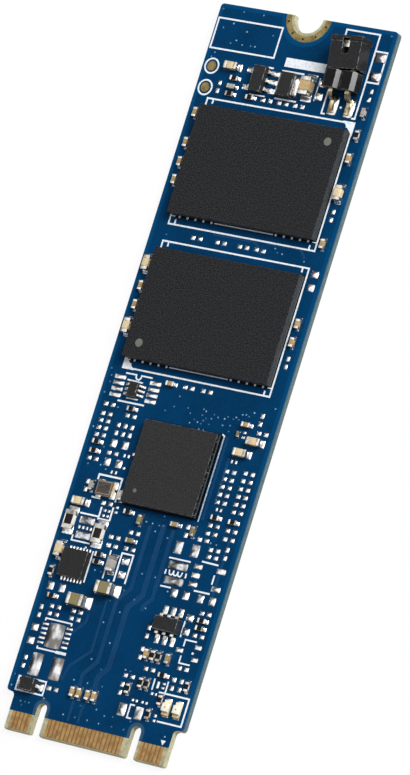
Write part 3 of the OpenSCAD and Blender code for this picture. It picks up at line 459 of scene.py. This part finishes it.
def makeCan():
    # oscillator base: brown metal rim on top, pale golden walls
    look = {"wall": ((236, 226, 204), (204, 180, 132)), "rim": ((122, 110, 94), (90, 78, 66)), "patch": 3.0,
            "spread": (0.4, 0.7), "rimFrom": 0.07, "rimFull": 0.03, "shine": 0.4, "rough": 0.34,
            "roughMore": 0.15, "depth": 0.008}
    made = Finish("canFinish", Specular_IOR_Level=look["shine"])
    height, = made.axes("Z")
    top = boxMm("oscillator_base")[1].z
    patch = made.noise(look["patch"], detail=3.0)
    onRim = made.ramp(height, top - look["rimFrom"], top - look["rimFull"])
    made.feed(Base_Color=made.blend(onRim, made.mottle(patch, look["spread"], *look["wall"]),
                                    made.mottle(patch, look["spread"], *look["rim"])),
              Roughness=look["rough"] + look["roughMore"] * patch, Normal=made.bump(patch, look["depth"]))
    return made.material


def makeLens():
    # cream lens with the small die showing in its middle
    look = {"cream": (250, 246, 230), "deep": (240, 230, 202), "die": (150, 104, 96), "dieSize": 0.09,
            "dieBlur": 0.03, "dieShare": 0.8, "cloud": 3.0, "spread": (0.4, 0.7), "shine": 0.5,
            "rough": 0.25, "roughMore": 0.15, "depth": 0.01}
    made = Finish("lensFinish", Specular_IOR_Level=look["shine"])
    x, y = made.axes("XY")
    cloud = made.noise(look["cloud"])
    colour = made.mottle(cloud, look["spread"], look["cream"], look["deep"])
    for low, high in boxesOf("led_lenses"):
        middle = (low + high) / 2 / mm
        die = made.ramp(made.distance(x, y, middle.x, middle.y), look["dieSize"] - look["dieBlur"],
                        look["dieSize"] + look["dieBlur"], look["dieShare"], 0.0)
        colour = made.blend(die, colour, tint(*look["die"]))
    made.feed(Base_Color=colour, Roughness=look["rough"] + look["roughMore"] * cloud,
              Normal=made.bump(cloud, look["depth"]))
    return made.material


def makeLid():
    # dark brushed lid with a pale rim
    look = {"plate": ((84, 78, 73), (48, 44, 43)), "rim": (150, 140, 128), "rimSpread": (0.05, 0.1),
            "brush": 5.0, "brushStretch": (0.4, 5.0, 1.0), "brushSpread": (0.35, 0.7), "metal": 0.9,
            "rough": 0.16, "roughMore": 0.12}
    made = Finish("lidFinish", Metallic=look["metal"])
    brushed = made.noise(look["brush"], stretch=look["brushStretch"])
    x, y = made.axes("XY")
    low, high = boxMm("oscillator_lid")
    inside = (high.x - x).atMost(x - low.x).atMost(y - low.y).atMost(high.y - y)
    plate = made.mottle(brushed, look["brushSpread"], *look["plate"])
    made.feed(Base_Color=made.blend(made.ramp(inside, *look["rimSpread"]), tint(*look["rim"]), plate),
              Roughness=look["rough"] + look["roughMore"] * brushed)
    return made.material


# moulded marks: x, y and radius in millimetres, and colour
flashDots = ((-7.43, 2.32, 0.46, (112, 112, 106)), (7.37, 26.98, 0.46, (112, 112, 106)))
controllerDots = ((-2.65, -12.93, 0.24, (104, 104, 100)),)
# painted light and shade: the flash packages' walls are painted lighter as lit sides, the controller's near
# black as shaded sides with painted glint specks
wallUnder = 0.1  # the packages' walls start this far under their tops, in millimetres
flashLitWall = (boxMm("flash_package_upper")[1].z - wallUnder, (46, 48, 52), (74, 76, 80), 0.0)
controllerShadedWall = (boxMm("controller_package")[1].z - wallUnder, (7, 7, 8), (12, 12, 13), 1.0)

finishes = {
    "mask": makeMask(),
    "trace": makeTrace(),
    "via": makeVia(),
    "laminate": makeLaminate(),
    "silk": makeSilk(),
    # name, light and dark colour, roughness
    "gold": makeGold("contactGold", (176, 140, 92), (146, 110, 68), 0.3),
    "padGold": makeGold("ringGold", (150, 135, 90), (112, 98, 60), 0.3),
    "pin": makeGold("pinFinish", (230, 220, 186), (120, 100, 66), 0.22),
    "clip": makeGold("clipFinish", (238, 236, 228), (150, 144, 130), 0.2),
    "solder": makeSolder("solderFinish", (242, 243, 245), (178, 182, 188), 0.12),
    "tin": makeSolder("tinFinish", (228, 225, 216), (172, 167, 158), 0.2),
    "paleTin": makeSolder("paleTinFinish", (248, 245, 238), (222, 216, 206), 0.38),
    # name, dark and light colour, roughness, shine, wear and painted glint of the edges
    "flash": makeMoulding("flashFinish", (6, 6, 8), (48, 49, 51), 0.52, 0.15, 0.1, flashDots, flashLitWall),
    "controller": makeMoulding("controllerFinish", (32, 32, 33), (52, 52, 53), 0.52, 0.16, 0.3,
                               controllerDots, controllerShadedWall),
    "chipBlack": makeMoulding("chipBlackFinish", (30, 30, 31), (44, 44, 45), 0.5, 0.16, 0.8),
    "header": makeMoulding("headerFinish", (6, 6, 7), (16, 16, 18), 0.34, 0.12, 0.3, paintedSheenShare=0.9),
    "jumper": makeMoulding("jumperFinish", (16, 16, 17), (38, 37, 37), 0.42, 0.2, 1.0, stepShadow=jumperStepShadow()),
    # name, pale and deep colour, roughness, shine
    "substrate": makeCeramic("substrateFinish", (66, 74, 70), (42, 50, 48), 0.5),
    "smallCeramic": makeCeramic("smallCeramicFinish", (186, 156, 108), (122, 112, 72)),
    "middleCeramic": makeCeramic("middleCeramicFinish", (226, 206, 166), (190, 162, 118)),
    "largeCeramic": makeCeramic("largeCeramicFinish", (200, 170, 124), (122, 114, 74)),
    "bead": makeCeramic("beadFinish", (206, 200, 192), (150, 146, 142), 0.45),
    "alumina": makeCeramic("aluminaFinish", (238, 236, 230), (226, 222, 212), 0.5),
    "coat": makeCeramic("coatFinish", (20, 18, 18), (32, 26, 24), 0.3, 0.15),
    "lampBase": makeCeramic("lampBaseFinish", (234, 222, 186), (226, 210, 168), 0.45),
    "lampEnd": makeCeramic("lampEndFinish", (244, 236, 212), (206, 182, 124), 0.3),
    "resistor": makeResistor(),
    "lamp": makeLens(),
    "can": makeCan(),
    "lid": makeLid(),
}
print("finishes made:", len(finishes))

# CAD nodes that keep their own shape
keptNodes = {
    "board_laminate": "laminate", "solder_mask_top": "mask", "solder_mask_bottom": "mask",
    "edge_contacts_top": "gold", "edge_contacts_bottom": "gold", "mounting_pad_top": "padGold",
    "mounting_pad_bottom": "padGold", "mounting_pad_vias": "padGold", "silkscreen_lines": "silk",
    "silkscreen_fills": "silk", "test_pads": "padGold", "flash_solder_balls": "solder",
    "controller_solder_balls": "solder", "jumper_clip": "clip", "regulator_leads": "tin",
}
for node, finish in keptNodes.items():
    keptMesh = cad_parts[node].data
    keptMesh.materials.clear()
    keptMesh.materials.append(finishes[finish])
print("kept nodes finished:", len(keptNodes))

# sharp is the bend in degrees from which an edge is rounded, shortest the least length of such an edge in
# millimetres; wander is how far a chip may stand off its place, none here
softLook = {
    "flat": 1.5, "sharp": 25, "shortest": 0.1, "steps": 2, "profile": 0.6, "crease": 50, "wander": 0.0,
}


def asMesh(name, work, soft=True):
    # smooth shading with the sharp bends kept, unless it is flat all over
    if soft:
        for face in work.faces:
            face.smooth = True
        for line in work.edges:
            line.smooth = line.calc_face_angle(0) < math.radians(softLook["crease"])
    mesh = bpy.data.meshes.new(name)
    work.to_mesh(mesh)
    work.free()
    return mesh


def addPiece(name, mesh, finish, nodes=()):
    piece = bpy.data.objects.new(name, mesh)
    scene.collection.objects.link(piece)
    mesh.materials.append(finishes[finish])
    if nodes:
        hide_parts(*nodes)
    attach(piece, "root")
    return piece


def softCopy(name, node, finish, edge, toneOf=None):
    # a copy of a CAD node with its sharp edges rounded and a tone for each of its solids
    look = softLook
    work = mergedMesh([node])
    bmesh.ops.dissolve_limit(work, angle_limit=math.radians(look["flat"]), verts=work.verts, edges=work.edges)
    edgeLayer = work.faces.layers.float.new("edge")
    sharp = [line for line in work.edges
             if len(line.link_faces) == 2 and line.calc_face_angle(0) > math.radians(look["sharp"])
             and line.calc_length() > look["shortest"] * mm]
    rounded = bmesh.ops.bevel(work, geom=sharp, offset=edge * mm, segments=look["steps"],
                              profile=look["profile"], affect="EDGES", clamp_overlap=True)
    for face in rounded["faces"]:
        face[edgeLayer] = 1.0
    toneLayer = work.verts.layers.float.new("tone")
    for group in islandsOf(work):
        low, high = boxOf(group)
        tone = toneOf((low + high) / 2 / mm) if toneOf else rng.random()
        shift = Vector((rng.uniform(-1, 1), rng.uniform(-1, 1), 0)) * look["wander"] * mm
        for vert in group:
            vert[toneLayer] = tone
            vert.co += shift
    piece = addPiece(name, asMesh(name, work), finish, [node])
    piece.modifiers.new("evenNormals", "WEIGHTED_NORMAL").keep_sharp = True


# chips that are not tan: their middles in millimetres, and the range of tones of each sort
chipLook = {
    "olive": [(6.85, -4.8), (-1.4, -15.7), (-1.75, -18.05), (5.2, -15.7), (-5.6, -25.35), (-2.7, -23.5)],
    "golden": [(2.9, -15.4), (6.85, -29.1)],
    "near": 0.6, "oliveTone": (0.85, 1.0), "goldenTone": (0.45, 0.6), "tanTone": (0.0, 0.25),
}


def chipTone(middle):
    for sort in ("olive", "golden"):
        if any(math.hypot(middle.x - x, middle.y - y) < chipLook["near"] for x, y in chipLook[sort]):
            return rng.uniform(*chipLook[sort + "Tone"])
    return rng.uniform(*chipLook["tanTone"])


def lampEndTone(middle):
    # the end towards the contacts is golden
    low, high = boxMm("led_terminals")
    return 1.0 if middle.y < (low.y + high.y) / 2 else 0.0


softPieces = [
    # name, CAD node, finish, slot, edge radius in millimetres
    ("flashPackageUpper", "flash_package_upper", "flash", "moulding", 0.05),
    ("flashPackageLower", "flash_package_lower", "flash", "moulding", 0.05),
    ("flashSubstrates", "flash_substrates", "substrate", "substrate", 0.02),
    ("controllerMoulding", "controller_package", "controller", "moulding", 0.05),
    ("controllerSubstrate", "controller_substrate", "substrate", "substrate", 0.02),
    ("headerHousing", "header_housing", "header", "header_plastic", 0.06),
    ("headerPins", "header_pins", "pin", "pin_metal", 0.05),
    ("jumperHousing", "jumper_housing", "jumper", "header_plastic", 0.045),
    ("inductorBody", "inductor_body", "chipBlack", "ferrite", 0.05),
    ("inductorTerminals", "inductor_terminals", "tin", "terminal", 0.02),
    ("oscillatorBase", "oscillator_base", "can", "ceramic_gold", 0.04),
    ("oscillatorLid", "oscillator_lid", "lid", "lid_metal", 0.04),
    ("regulatorBody", "regulator_body", "chipBlack", "moulding", 0.03),
    ("driverBodies", "driver_bodies", "chipBlack", "moulding", 0.05),
    ("driverLeads", "driver_leads", "tin", "tin", 0.03),
    ("gateBody", "gate_body", "chipBlack", "moulding", 0.03),
    ("gateLeads", "gate_leads", "tin", "tin", 0.02),
    ("diodeBody", "diode_body", "chipBlack", "moulding", 0.05),
    ("diodeLeads", "diode_leads", "tin", "tin", 0.02),
    ("lampBases", "led_bases", "lampBase", "led_base", 0.02),
    ("lampLenses", "led_lenses", "lamp", "led_lens", 0.05),
    ("lampTerminals", "led_terminals", "lampEnd", "terminal", 0.03),
    ("smallCapacitorBodies", "capacitors_small", "smallCeramic", "ceramic_tan", 0.03),
    ("middleCapacitorBodies", "capacitors_middle", "middleCeramic", "ceramic_tan", 0.04),
    ("largeCapacitorBodies", "capacitors_large", "largeCeramic", "ceramic_olive", 0.06),
    ("smallCapacitorCaps", "capacitors_small_caps", "paleTin", "tin", 0.06),
    ("middleCapacitorCaps", "capacitors_middle_caps", "tin", "tin", 0.08),
    ("largeCapacitorCaps", "capacitors_large_caps", "tin", "tin", 0.1),
    ("resistorBodies", "resistors", "resistor", "resist_black", 0.02),
    ("resistorCaps", "resistors_caps", "paleTin", "tin", 0.04),
    ("shuntBodies", "shunt_bodies", "alumina", "alumina", 0.02),
    ("shuntCoats", "shunt_coats", "coat", "resist_black", 0.01),
    ("shuntCaps", "shunt_caps", "paleTin", "tin", 0.05),
    ("beadBodies", "bead_bodies", "bead", "bead_grey", 0.03),
    ("beadCaps", "bead_caps", "tin", "tin", 0.05),
]
for name, node, finish, slot, edge in softPieces:
    toneOf = chipTone if "Capacitor" in name else lampEndTone if name == "lampTerminals" else None
    softCopy(name, node, finish, edge, toneOf)
print("rounded pieces made:", len(softPieces))

# Each land is a pillow of solder, square to round by "square" and "corner". Its crown is a share of the
# land's half width, uneven by "lean" and "wavy", and dull swirls start at "swirlFrom" square millimetres.
# Where an end cap stands on it, it climbs the cap by a share of the cap's height. Lengths in millimetres.
solderLook = {
    "across": 12, "square": 7.0, "corner": 0.07, "crown": 0.36, "crownMost": 0.16, "crownVaries": (0.8, 1.2),
    "fall": 1.35, "round": 0.9, "lean": 0.35, "wavy": 0.55, "wavyFrom": 0.6, "waves": 3, "phase": 6.3,
    "ripple": 7.0, "sunk": 0.02, "swirlFrom": 0.9, "climb": 0.62, "climbMost": 0.36, "shuntClimb": 0.35,
    "reachLeast": 0.05, "underCap": 0.4, "sideFall": 4, "same": 0.1,
}
capBoxes = boxesOf("capacitors_small_caps", "capacitors_middle_caps", "capacitors_large_caps",
                   "resistors_caps", "shunt_caps", "bead_caps", "led_terminals", "inductor_terminals")
shuntCorners = [low for low, high in boxesOf("shunt_caps")]


def filletOn(low, high):
    # how the solder of a land climbs its cap: axis, direction, the cap's face, reach and height
    look = solderLook
    for capLow, capHigh in capBoxes:
        if capLow.x < high.x and capHigh.x > low.x and capLow.y < high.y and capHigh.y > low.y:
            break
    else:
        return None
    middle, half = (low + high) / 2, (high - low) / 2
    away = middle - (capLow + capHigh) / 2
    axis = 0 if abs(away.x) > abs(away.y) else 1
    sign = 1 if away[axis] > 0 else -1
    face = capHigh[axis] if sign > 0 else capLow[axis]
    reach = max(abs(middle[axis] + sign * half[axis] - face), look["reachLeast"] * mm)
    climb = min(look["climbMost"] * mm, look["climb"] * (capHigh.z - capLow.z))
    if any((capLow - corner).length < look["same"] * mm for corner in shuntCorners):
        climb *= look["shuntClimb"]
    return axis, sign, face, reach, climb


def addPillow(work, toneLayer, low, high):
    look, count = solderLook, solderLook["across"]
    middle, half = (low + high) / 2, (high - low) / 2
    area = 4 * half.x * half.y / mm / mm
    tone = min(1.0, max(0.0, (area - look["swirlFrom"]) / look["swirlFrom"]))
    crown = min(look["crownMost"] * mm, look["crown"] * min(half.x, half.y))
    crown *= rng.uniform(*look["crownVaries"])
    lean = Vector((rng.uniform(-1, 1), rng.uniform(-1, 1))) * look["lean"]
    waves = [(rng.uniform(-1, 1), rng.uniform(-1, 1), rng.uniform(0, look["phase"]))
             for k in range(look["waves"])]
    wavy = look["wavy"] * min(1.0, max(half.x, half.y) / (look["wavyFrom"] * mm))
    fillet = filletOn(low, high)
    if fillet:
        axis, sign, face, reach, climb = fillet
        tone = 0.0
    grid = []
    for i in range(count + 1):
        row = []
        for j in range(count + 1):
            u = math.sin(math.pi * (i / count - 0.5))
            v = math.sin(math.pi * (j / count - 0.5))
            x = middle.x + half.x * u * (1 - look["corner"] * v * v)
            y = middle.y + half.y * v * (1 - look["corner"] * u * u)
            # four soft facets that meet along the diagonals
            out = (abs(u) ** look["square"] + abs(v) ** look["square"]) ** (1 / look["square"])
            rise = max(0.0, 1 - out ** look["fall"]) ** look["round"]
            wave = sum(math.cos((a * (x - middle.x) + b * (y - middle.y)) * look["ripple"] / mm + c)
                       for a, b, c in waves) / len(waves)
            height = crown * rise * (1 + lean.x * u + lean.y * v + wavy * wave)
            if fillet:
                past = sign * ((x, y)[axis] - face) / reach
                slope = min(1.0, (1 - past) ** 2) if past > 0 else 1.0
                side = math.sqrt(max(0.0, 1 - (v, u)[axis] ** look["sideFall"]))
                height = look["underCap"] * height + climb * slope * side
            row.append(work.verts.new((x, y, high.z - look["sunk"] * mm + max(0.0, height))))
            row[-1][toneLayer] = tone
        grid.append(row)
    for i in range(count):
        for j in range(count):
            work.faces.new((grid[i][j], grid[i + 1][j], grid[i + 1][j + 1], grid[i][j + 1]))
    rim = ([grid[i][0] for i in range(count)] + [grid[count][j] for j in range(count)]
           + [grid[i][count] for i in range(count, 0, -1)] + [grid[0][j] for j in range(count, 0, -1)])
    base = [work.verts.new((v.co.x, v.co.y, low.z)) for v in rim]
    for k in range(len(rim)):
        n = (k + 1) % len(rim)
        work.faces.new((rim[n], rim[k], base[k], base[n]))
    work.faces.new(base)


def makeSolderPiece(name, node):
    work = bmesh.new()
    toneLayer = work.verts.layers.float.new("tone")
    lands = boxesOf(node)
    for low, high in lands:
        addPillow(work, toneLayer, low, high)
    bmesh.ops.recalc_face_normals(work, faces=work.faces)
    addPiece(name, asMesh(name, work), "solder", [node])
    print(name, "from", len(lands), "lands")


makeSolderPiece("chipSolder", "chip_lands")
makeSolderPiece("wideSolder", "wide_lands")
makeSolderPiece("fineSolder", "fine_lands")

# copper runs and filled holes that show through the mask, in millimetres; the profile of a hole has
# shares of its radius and of its rise
copperLook = {
    "rise": 0.012, "width": 0.075, "step": 0.16, "mitreLeast": 0.4, "holeRadius": 0.095, "holeRise": 0.02,
    "holeSides": 16, "holeProfile": ((1.0, 0.0), (0.8, 0.8), (0.45, 1.0), (0.3, 0.35)),
}
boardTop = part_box("solder_mask_top")[1].z
copperRuns = [
    # lines side by side, then the points of their middle
    (3, [(-0.12, -16.0), (-0.12, -22.9), (-1.33, -24.3), (-1.33, -31.0), (-2.6, -32.6), (-2.6, -33.9)]),
    (4, [(1.48, -15.6), (1.48, -23.3), (0.18, -24.8), (0.18, -31.4), (-0.72, -32.5), (-0.72, -33.9)]),
    (3, [(2.75, -15.9), (2.75, -23.4), (1.95, -24.4), (1.95, -24.9)]),
    (2, [(-2.48, -24.4), (-2.43, -30.1), (-4.5, -32.1), (-4.9, -33.7)]),
    (2, [(5.7, -5.3), (5.7, -14.3)]),
    (2, [(6.6, -7.4), (6.6, -12.2)]),
    (2, [(-1.3, -35.6), (-1.45, -36.2), (-1.45, -37.7)]),
    (2, [(-2.7, -35.4), (-2.7, -37.7)]),
    (2, [(-4.1, -26.4), (-4.15, -27.3), (-5.1, -28.4), (-5.6, -28.8)]),
    (2, [(7.1, -19.4), (7.1, -21.6)]),
    (2, [(8.2, 14.6), (7.4, 15.5), (3.2, 15.5)]),
    (2, [(3.0, 14.2), (1.8, 15.4), (-3.4, 15.4)]),
    (2, [(9.6, -15.6), (9.6, -22.0)]),
]
holeSpots = [
    (-8.0, 39.4), (-5.5, 39.4), (-10.6, 39.4), (-8.8, 38.0), (-9.9, 37.4), (-6.9, 37.35), (-3.65, 37.4),
    (-7.85, 36.25), (-8.45, 35.85), (-7.0, 35.85), (-5.95, 35.9), (-5.4, 35.9), (-10.0, 34.6),
    (-10.25, 34.1), (10.3, 39.45), (-1.4, -2.15), (0, -3.15), (1.9, -2.95), (1.9, -3.6), (2.45, -3.85),
    (0.45, -3.65), (1.15, -4.2), (0.7, -4.65), (3.0, -4.4), (1.6, -4.4), (-2.6, -3.9), (-1.7, -3.3),
    (2.0, -5.1), (2.55, -5.1), (6.6, -2.7), (7.4, -2.75), (7.9, -2.25), (5.65, -3.35), (6.3, -3.3),
    (4.65, -3.5), (4.65, -4.2), (5.55, -4.7), (10.2, -1.4), (-10.5, -0.65), (-10.25, -1.4), (-10.2, -2.1),
    (-10.45, -3.3), (-8.3, -4.6), (-10.5, -7.1), (-8.5, -9.0), (-9.75, -11.05), (-7.45, -11.25),
    (-8.2, -10.9), (1.2, -14.75), (-0.75, -15.7), (0.05, -15.75), (0.9, -15.8), (1.4, -15.75),
    (0.65, -16.5), (2.3, -16.9), (5.4, -16.3), (7.5, -16.45), (8.2, -16.5), (0.65, -21.1), (2.3, -21.15),
    (-0.85, -23.2), (0.68, -23.9), (-2.1, -24.55), (2.3, -24.5), (-0.55, -25.5), (-2.1, -26.9),
    (-0.6, -28.85), (-2.15, -30.9), (-0.65, -31.7), (0.1, -33.4), (2.2, -31.15), (2.8, -31.2),
    (4.25, -22.3), (-5.0, -21.8), (-4.25, -21.85), (4.8, 14.7), (5.4, 14.65), (4.4, 15.1), (-9.0, 14.4),
    (8.2, 14.3), (-10.6, -34.2), (-10.6, -35.4), (-8.95, -36.8), (-8.4, -36.8), (-7.9, -36.8),
    (-8.7, -37.2), (-6.3, -36.0), (-3.45, -33.4), (-1.75, -33.4), (-1.75, -35.85), (-3.45, -37.15),
    (-2.0, -37.15), (-0.45, -37.15), (0.25, -35.85), (1.4, -36.3), (2.4, -36.2), (4.6, -36.2), (1.0, -37.2),
    (2.6, -37.2), (4.1, -37.2), (9.1, -36.9), (2.22, -4.13), (3.32, -3.29), (3.85, -3.49), (4.99, -3.21),
    (7.03, -2.63), (5.52, -4.07), (2.24, -3.11), (5.96, -3.1), (2.04, -4.51), (3.1, -3.77),
]


def addRun(work, points, shift):
    # a flat raised strip with mitred bends
    high = boardTop + copperLook["rise"] * mm
    spots = [Vector(point) * mm for point in points]
    left, right = [], []
    for k, spot in enumerate(spots):
        before = (spot - spots[k - 1]).normalized() if k else (spots[1] - spot).normalized()
        after = (spots[k + 1] - spot).normalized() if k + 1 < len(spots) else before
        along = (before + after).normalized()
        normal = Vector((-along.y, along.x)) * mm / max(copperLook["mitreLeast"], along.dot(before))
        left.append(spot + normal * (shift + copperLook["width"] / 2))
        right.append(spot + normal * (shift - copperLook["width"] / 2))
    loop = left + right[::-1]
    upper = [work.verts.new((p.x, p.y, high)) for p in loop]
    lower = [work.verts.new((p.x, p.y, boardTop)) for p in loop]
    count = len(loop)
    for k in range(len(points) - 1):
        work.faces.new((upper[k], upper[k + 1], upper[count - 2 - k], upper[count - 1 - k]))
    for k in range(count):
        n = (k + 1) % count
        work.faces.new((upper[k], upper[n], lower[n], lower[k]))


def makeRuns():
    work = bmesh.new()
    for lines, points in copperRuns:
        for k in range(lines):
            addRun(work, points, (k - (lines - 1) / 2) * copperLook["step"])
    bmesh.ops.recalc_face_normals(work, faces=work.faces)
    addPiece("copperRuns", asMesh("copperRuns", work, soft=False), "trace")
    print("copper runs made:", len(copperRuns))


def makeHoles():
    # low round bumps with a dimple
    look = copperLook
    work = bmesh.new()
    toneLayer = work.verts.layers.float.new("tone")
    turns = [2 * math.pi * k / look["holeSides"] for k in range(look["holeSides"])]
    for x, y in holeSpots:
        tone = rng.random()
        rings = []
        for share, height in look["holeProfile"]:
            radius = look["holeRadius"] * share
            z = boardTop + look["holeRise"] * height * mm
            ring = [(x + radius * math.cos(turn), y + radius * math.sin(turn)) for turn in turns]
            rings.append([work.verts.new((atX * mm, atY * mm, z)) for atX, atY in ring])
            for vert in rings[-1]:
                vert[toneLayer] = tone
        for inner, outer in zip(rings[1:], rings):
            for k in range(len(inner)):
                n = (k + 1) % len(inner)
                work.faces.new((outer[k], outer[n], inner[n], inner[k]))
        work.faces.new(rings[-1])
    addPiece("filledHoles", asMesh("filledHoles", work), "via")
    print("filled holes made:", len(holeSpots))


makeRuns()
makeHoles()


def makeFloor():
    # pale floor that keeps the part's shadow, nearly white to the camera and in reflections
    look = {"colour": (250, 250, 250), "rough": 0.9, "white": 0.9, "side": 1.6, "under": 0.02}
    made = Finish("floorFinish", Base_Color=tint(*look["colour"]), Roughness=look["rough"],
                  Specular_IOR_Level=0.0)
    camera = made.node("ShaderNodeLightPath", output="Is Camera Ray")
    glossy = made.node("ShaderNodeLightPath", output="Is Glossy Ray")
    white = made.node("ShaderNodeEmission", None, {"Color": (1, 1, 1, 1), "Strength": 1.0})
    lit = Wire(made, made.shader.outputs[0])
    both = made.node("ShaderNodeMixShader", None,
                     {0: camera.atLeast(glossy) * look["white"], 1: lit, 2: white})
    made.tree.links.new(both.socket, made.tree.nodes["Material Output"].inputs["Surface"])
    side = look["side"]
    mesh = bpy.data.meshes.new("floor")
    corners = [(-side, -side, 0), (side, -side, 0), (side, side, 0), (-side, side, 0)]
    mesh.from_pydata(corners, [], [(0, 1, 2, 3)])
    mesh.materials.append(made.material)
    floor = bpy.data.objects.new("floor", mesh)
    floor.location.z = -look["under"] * mm
    scene.collection.objects.link(floor)


def makeSky():
    # white to the camera; for the part it is dim, brighter above and to the right, and more so in reflections
    look = {"dim": 0.08, "above": 0.26, "aboveSpread": (0.35, 0.72), "right": 0.3, "rightSpread": (-0.1, 0.6),
            "mirror": 0.98, "mirrorSpread": (0.62, 0.8), "mirrorRight": 0.3}
    made = Finish("sky", sky=True, Color=(1, 1, 1, 1))
    scene.world = made.material
    toward = made.node("ShaderNodeTexCoord", output="Generated")
    x = made.node("ShaderNodeSeparateXYZ", None, {0: toward}, "X")
    z = made.node("ShaderNodeSeparateXYZ", None, {0: toward}, "Z")
    camera = made.node("ShaderNodeLightPath", output="Is Camera Ray")
    glossy = made.node("ShaderNodeLightPath", output="Is Glossy Ray")
    glow = look["dim"] + made.ramp(z, *look["aboveSpread"], 0.0, look["above"])
    glow = glow + made.ramp(x, *look["rightSpread"], 0.0, look["right"])
    glow = glow + glossy * (made.ramp(z, *look["mirrorSpread"], 0.0, look["mirror"])
                            + made.ramp(x, *look["rightSpread"], 0.0, look["mirrorRight"]))
    made.feed(Strength=camera + glow * (1 - camera))


lamps = {
    # place in metres, width and height, power; each looks at the part
    "rightLamp": ((0.5, 0.3, 0.45), (0.36, 0.36), 5.6),
    "topLamp": ((0.4, 0.3, 0.75), (0.5, 0.5), 1.0),
}


def addLamp(name, place, size, power):
    lamp = bpy.data.lights.new(name, "AREA")
    lamp.shape = "RECTANGLE"
    lamp.size, lamp.size_y = size
    lamp.energy = power
    holder = bpy.data.objects.new(name, lamp)
    holder.location = place
    holder.rotation_euler = (-Vector(place)).to_track_quat("-Z", "Y").to_euler()
    scene.collection.objects.link(holder)


def makeCamera():
    # place in millimetres and turn in degrees, fitted to the board's outline in the photograph
    look = {"place": (341.081, -99.04, 534.931), "turn": (18.754, 28.3035, 19.4668), "lens": 288.28,
            "sensor": 36.0, "nearest": 0.01, "farthest": 10.0}
    camera = bpy.data.cameras.new("photoView")
    camera.lens = look["lens"]
    camera.sensor_width = look["sensor"]
    camera.clip_start = look["nearest"]
    camera.clip_end = look["farthest"]
    holder = bpy.data.objects.new("photoView", camera)
    holder.location = Vector(look["place"]) * mm
    holder.rotation_euler = [math.radians(angle) for angle in look["turn"]]
    scene.collection.objects.link(holder)
    scene.camera = holder


makeFloor()
makeSky()
for name, (place, size, power) in lamps.items():
    addLamp(name, place, size, power)
makeCamera()
scene.view_settings.view_transform = "Standard"
print("stage made")
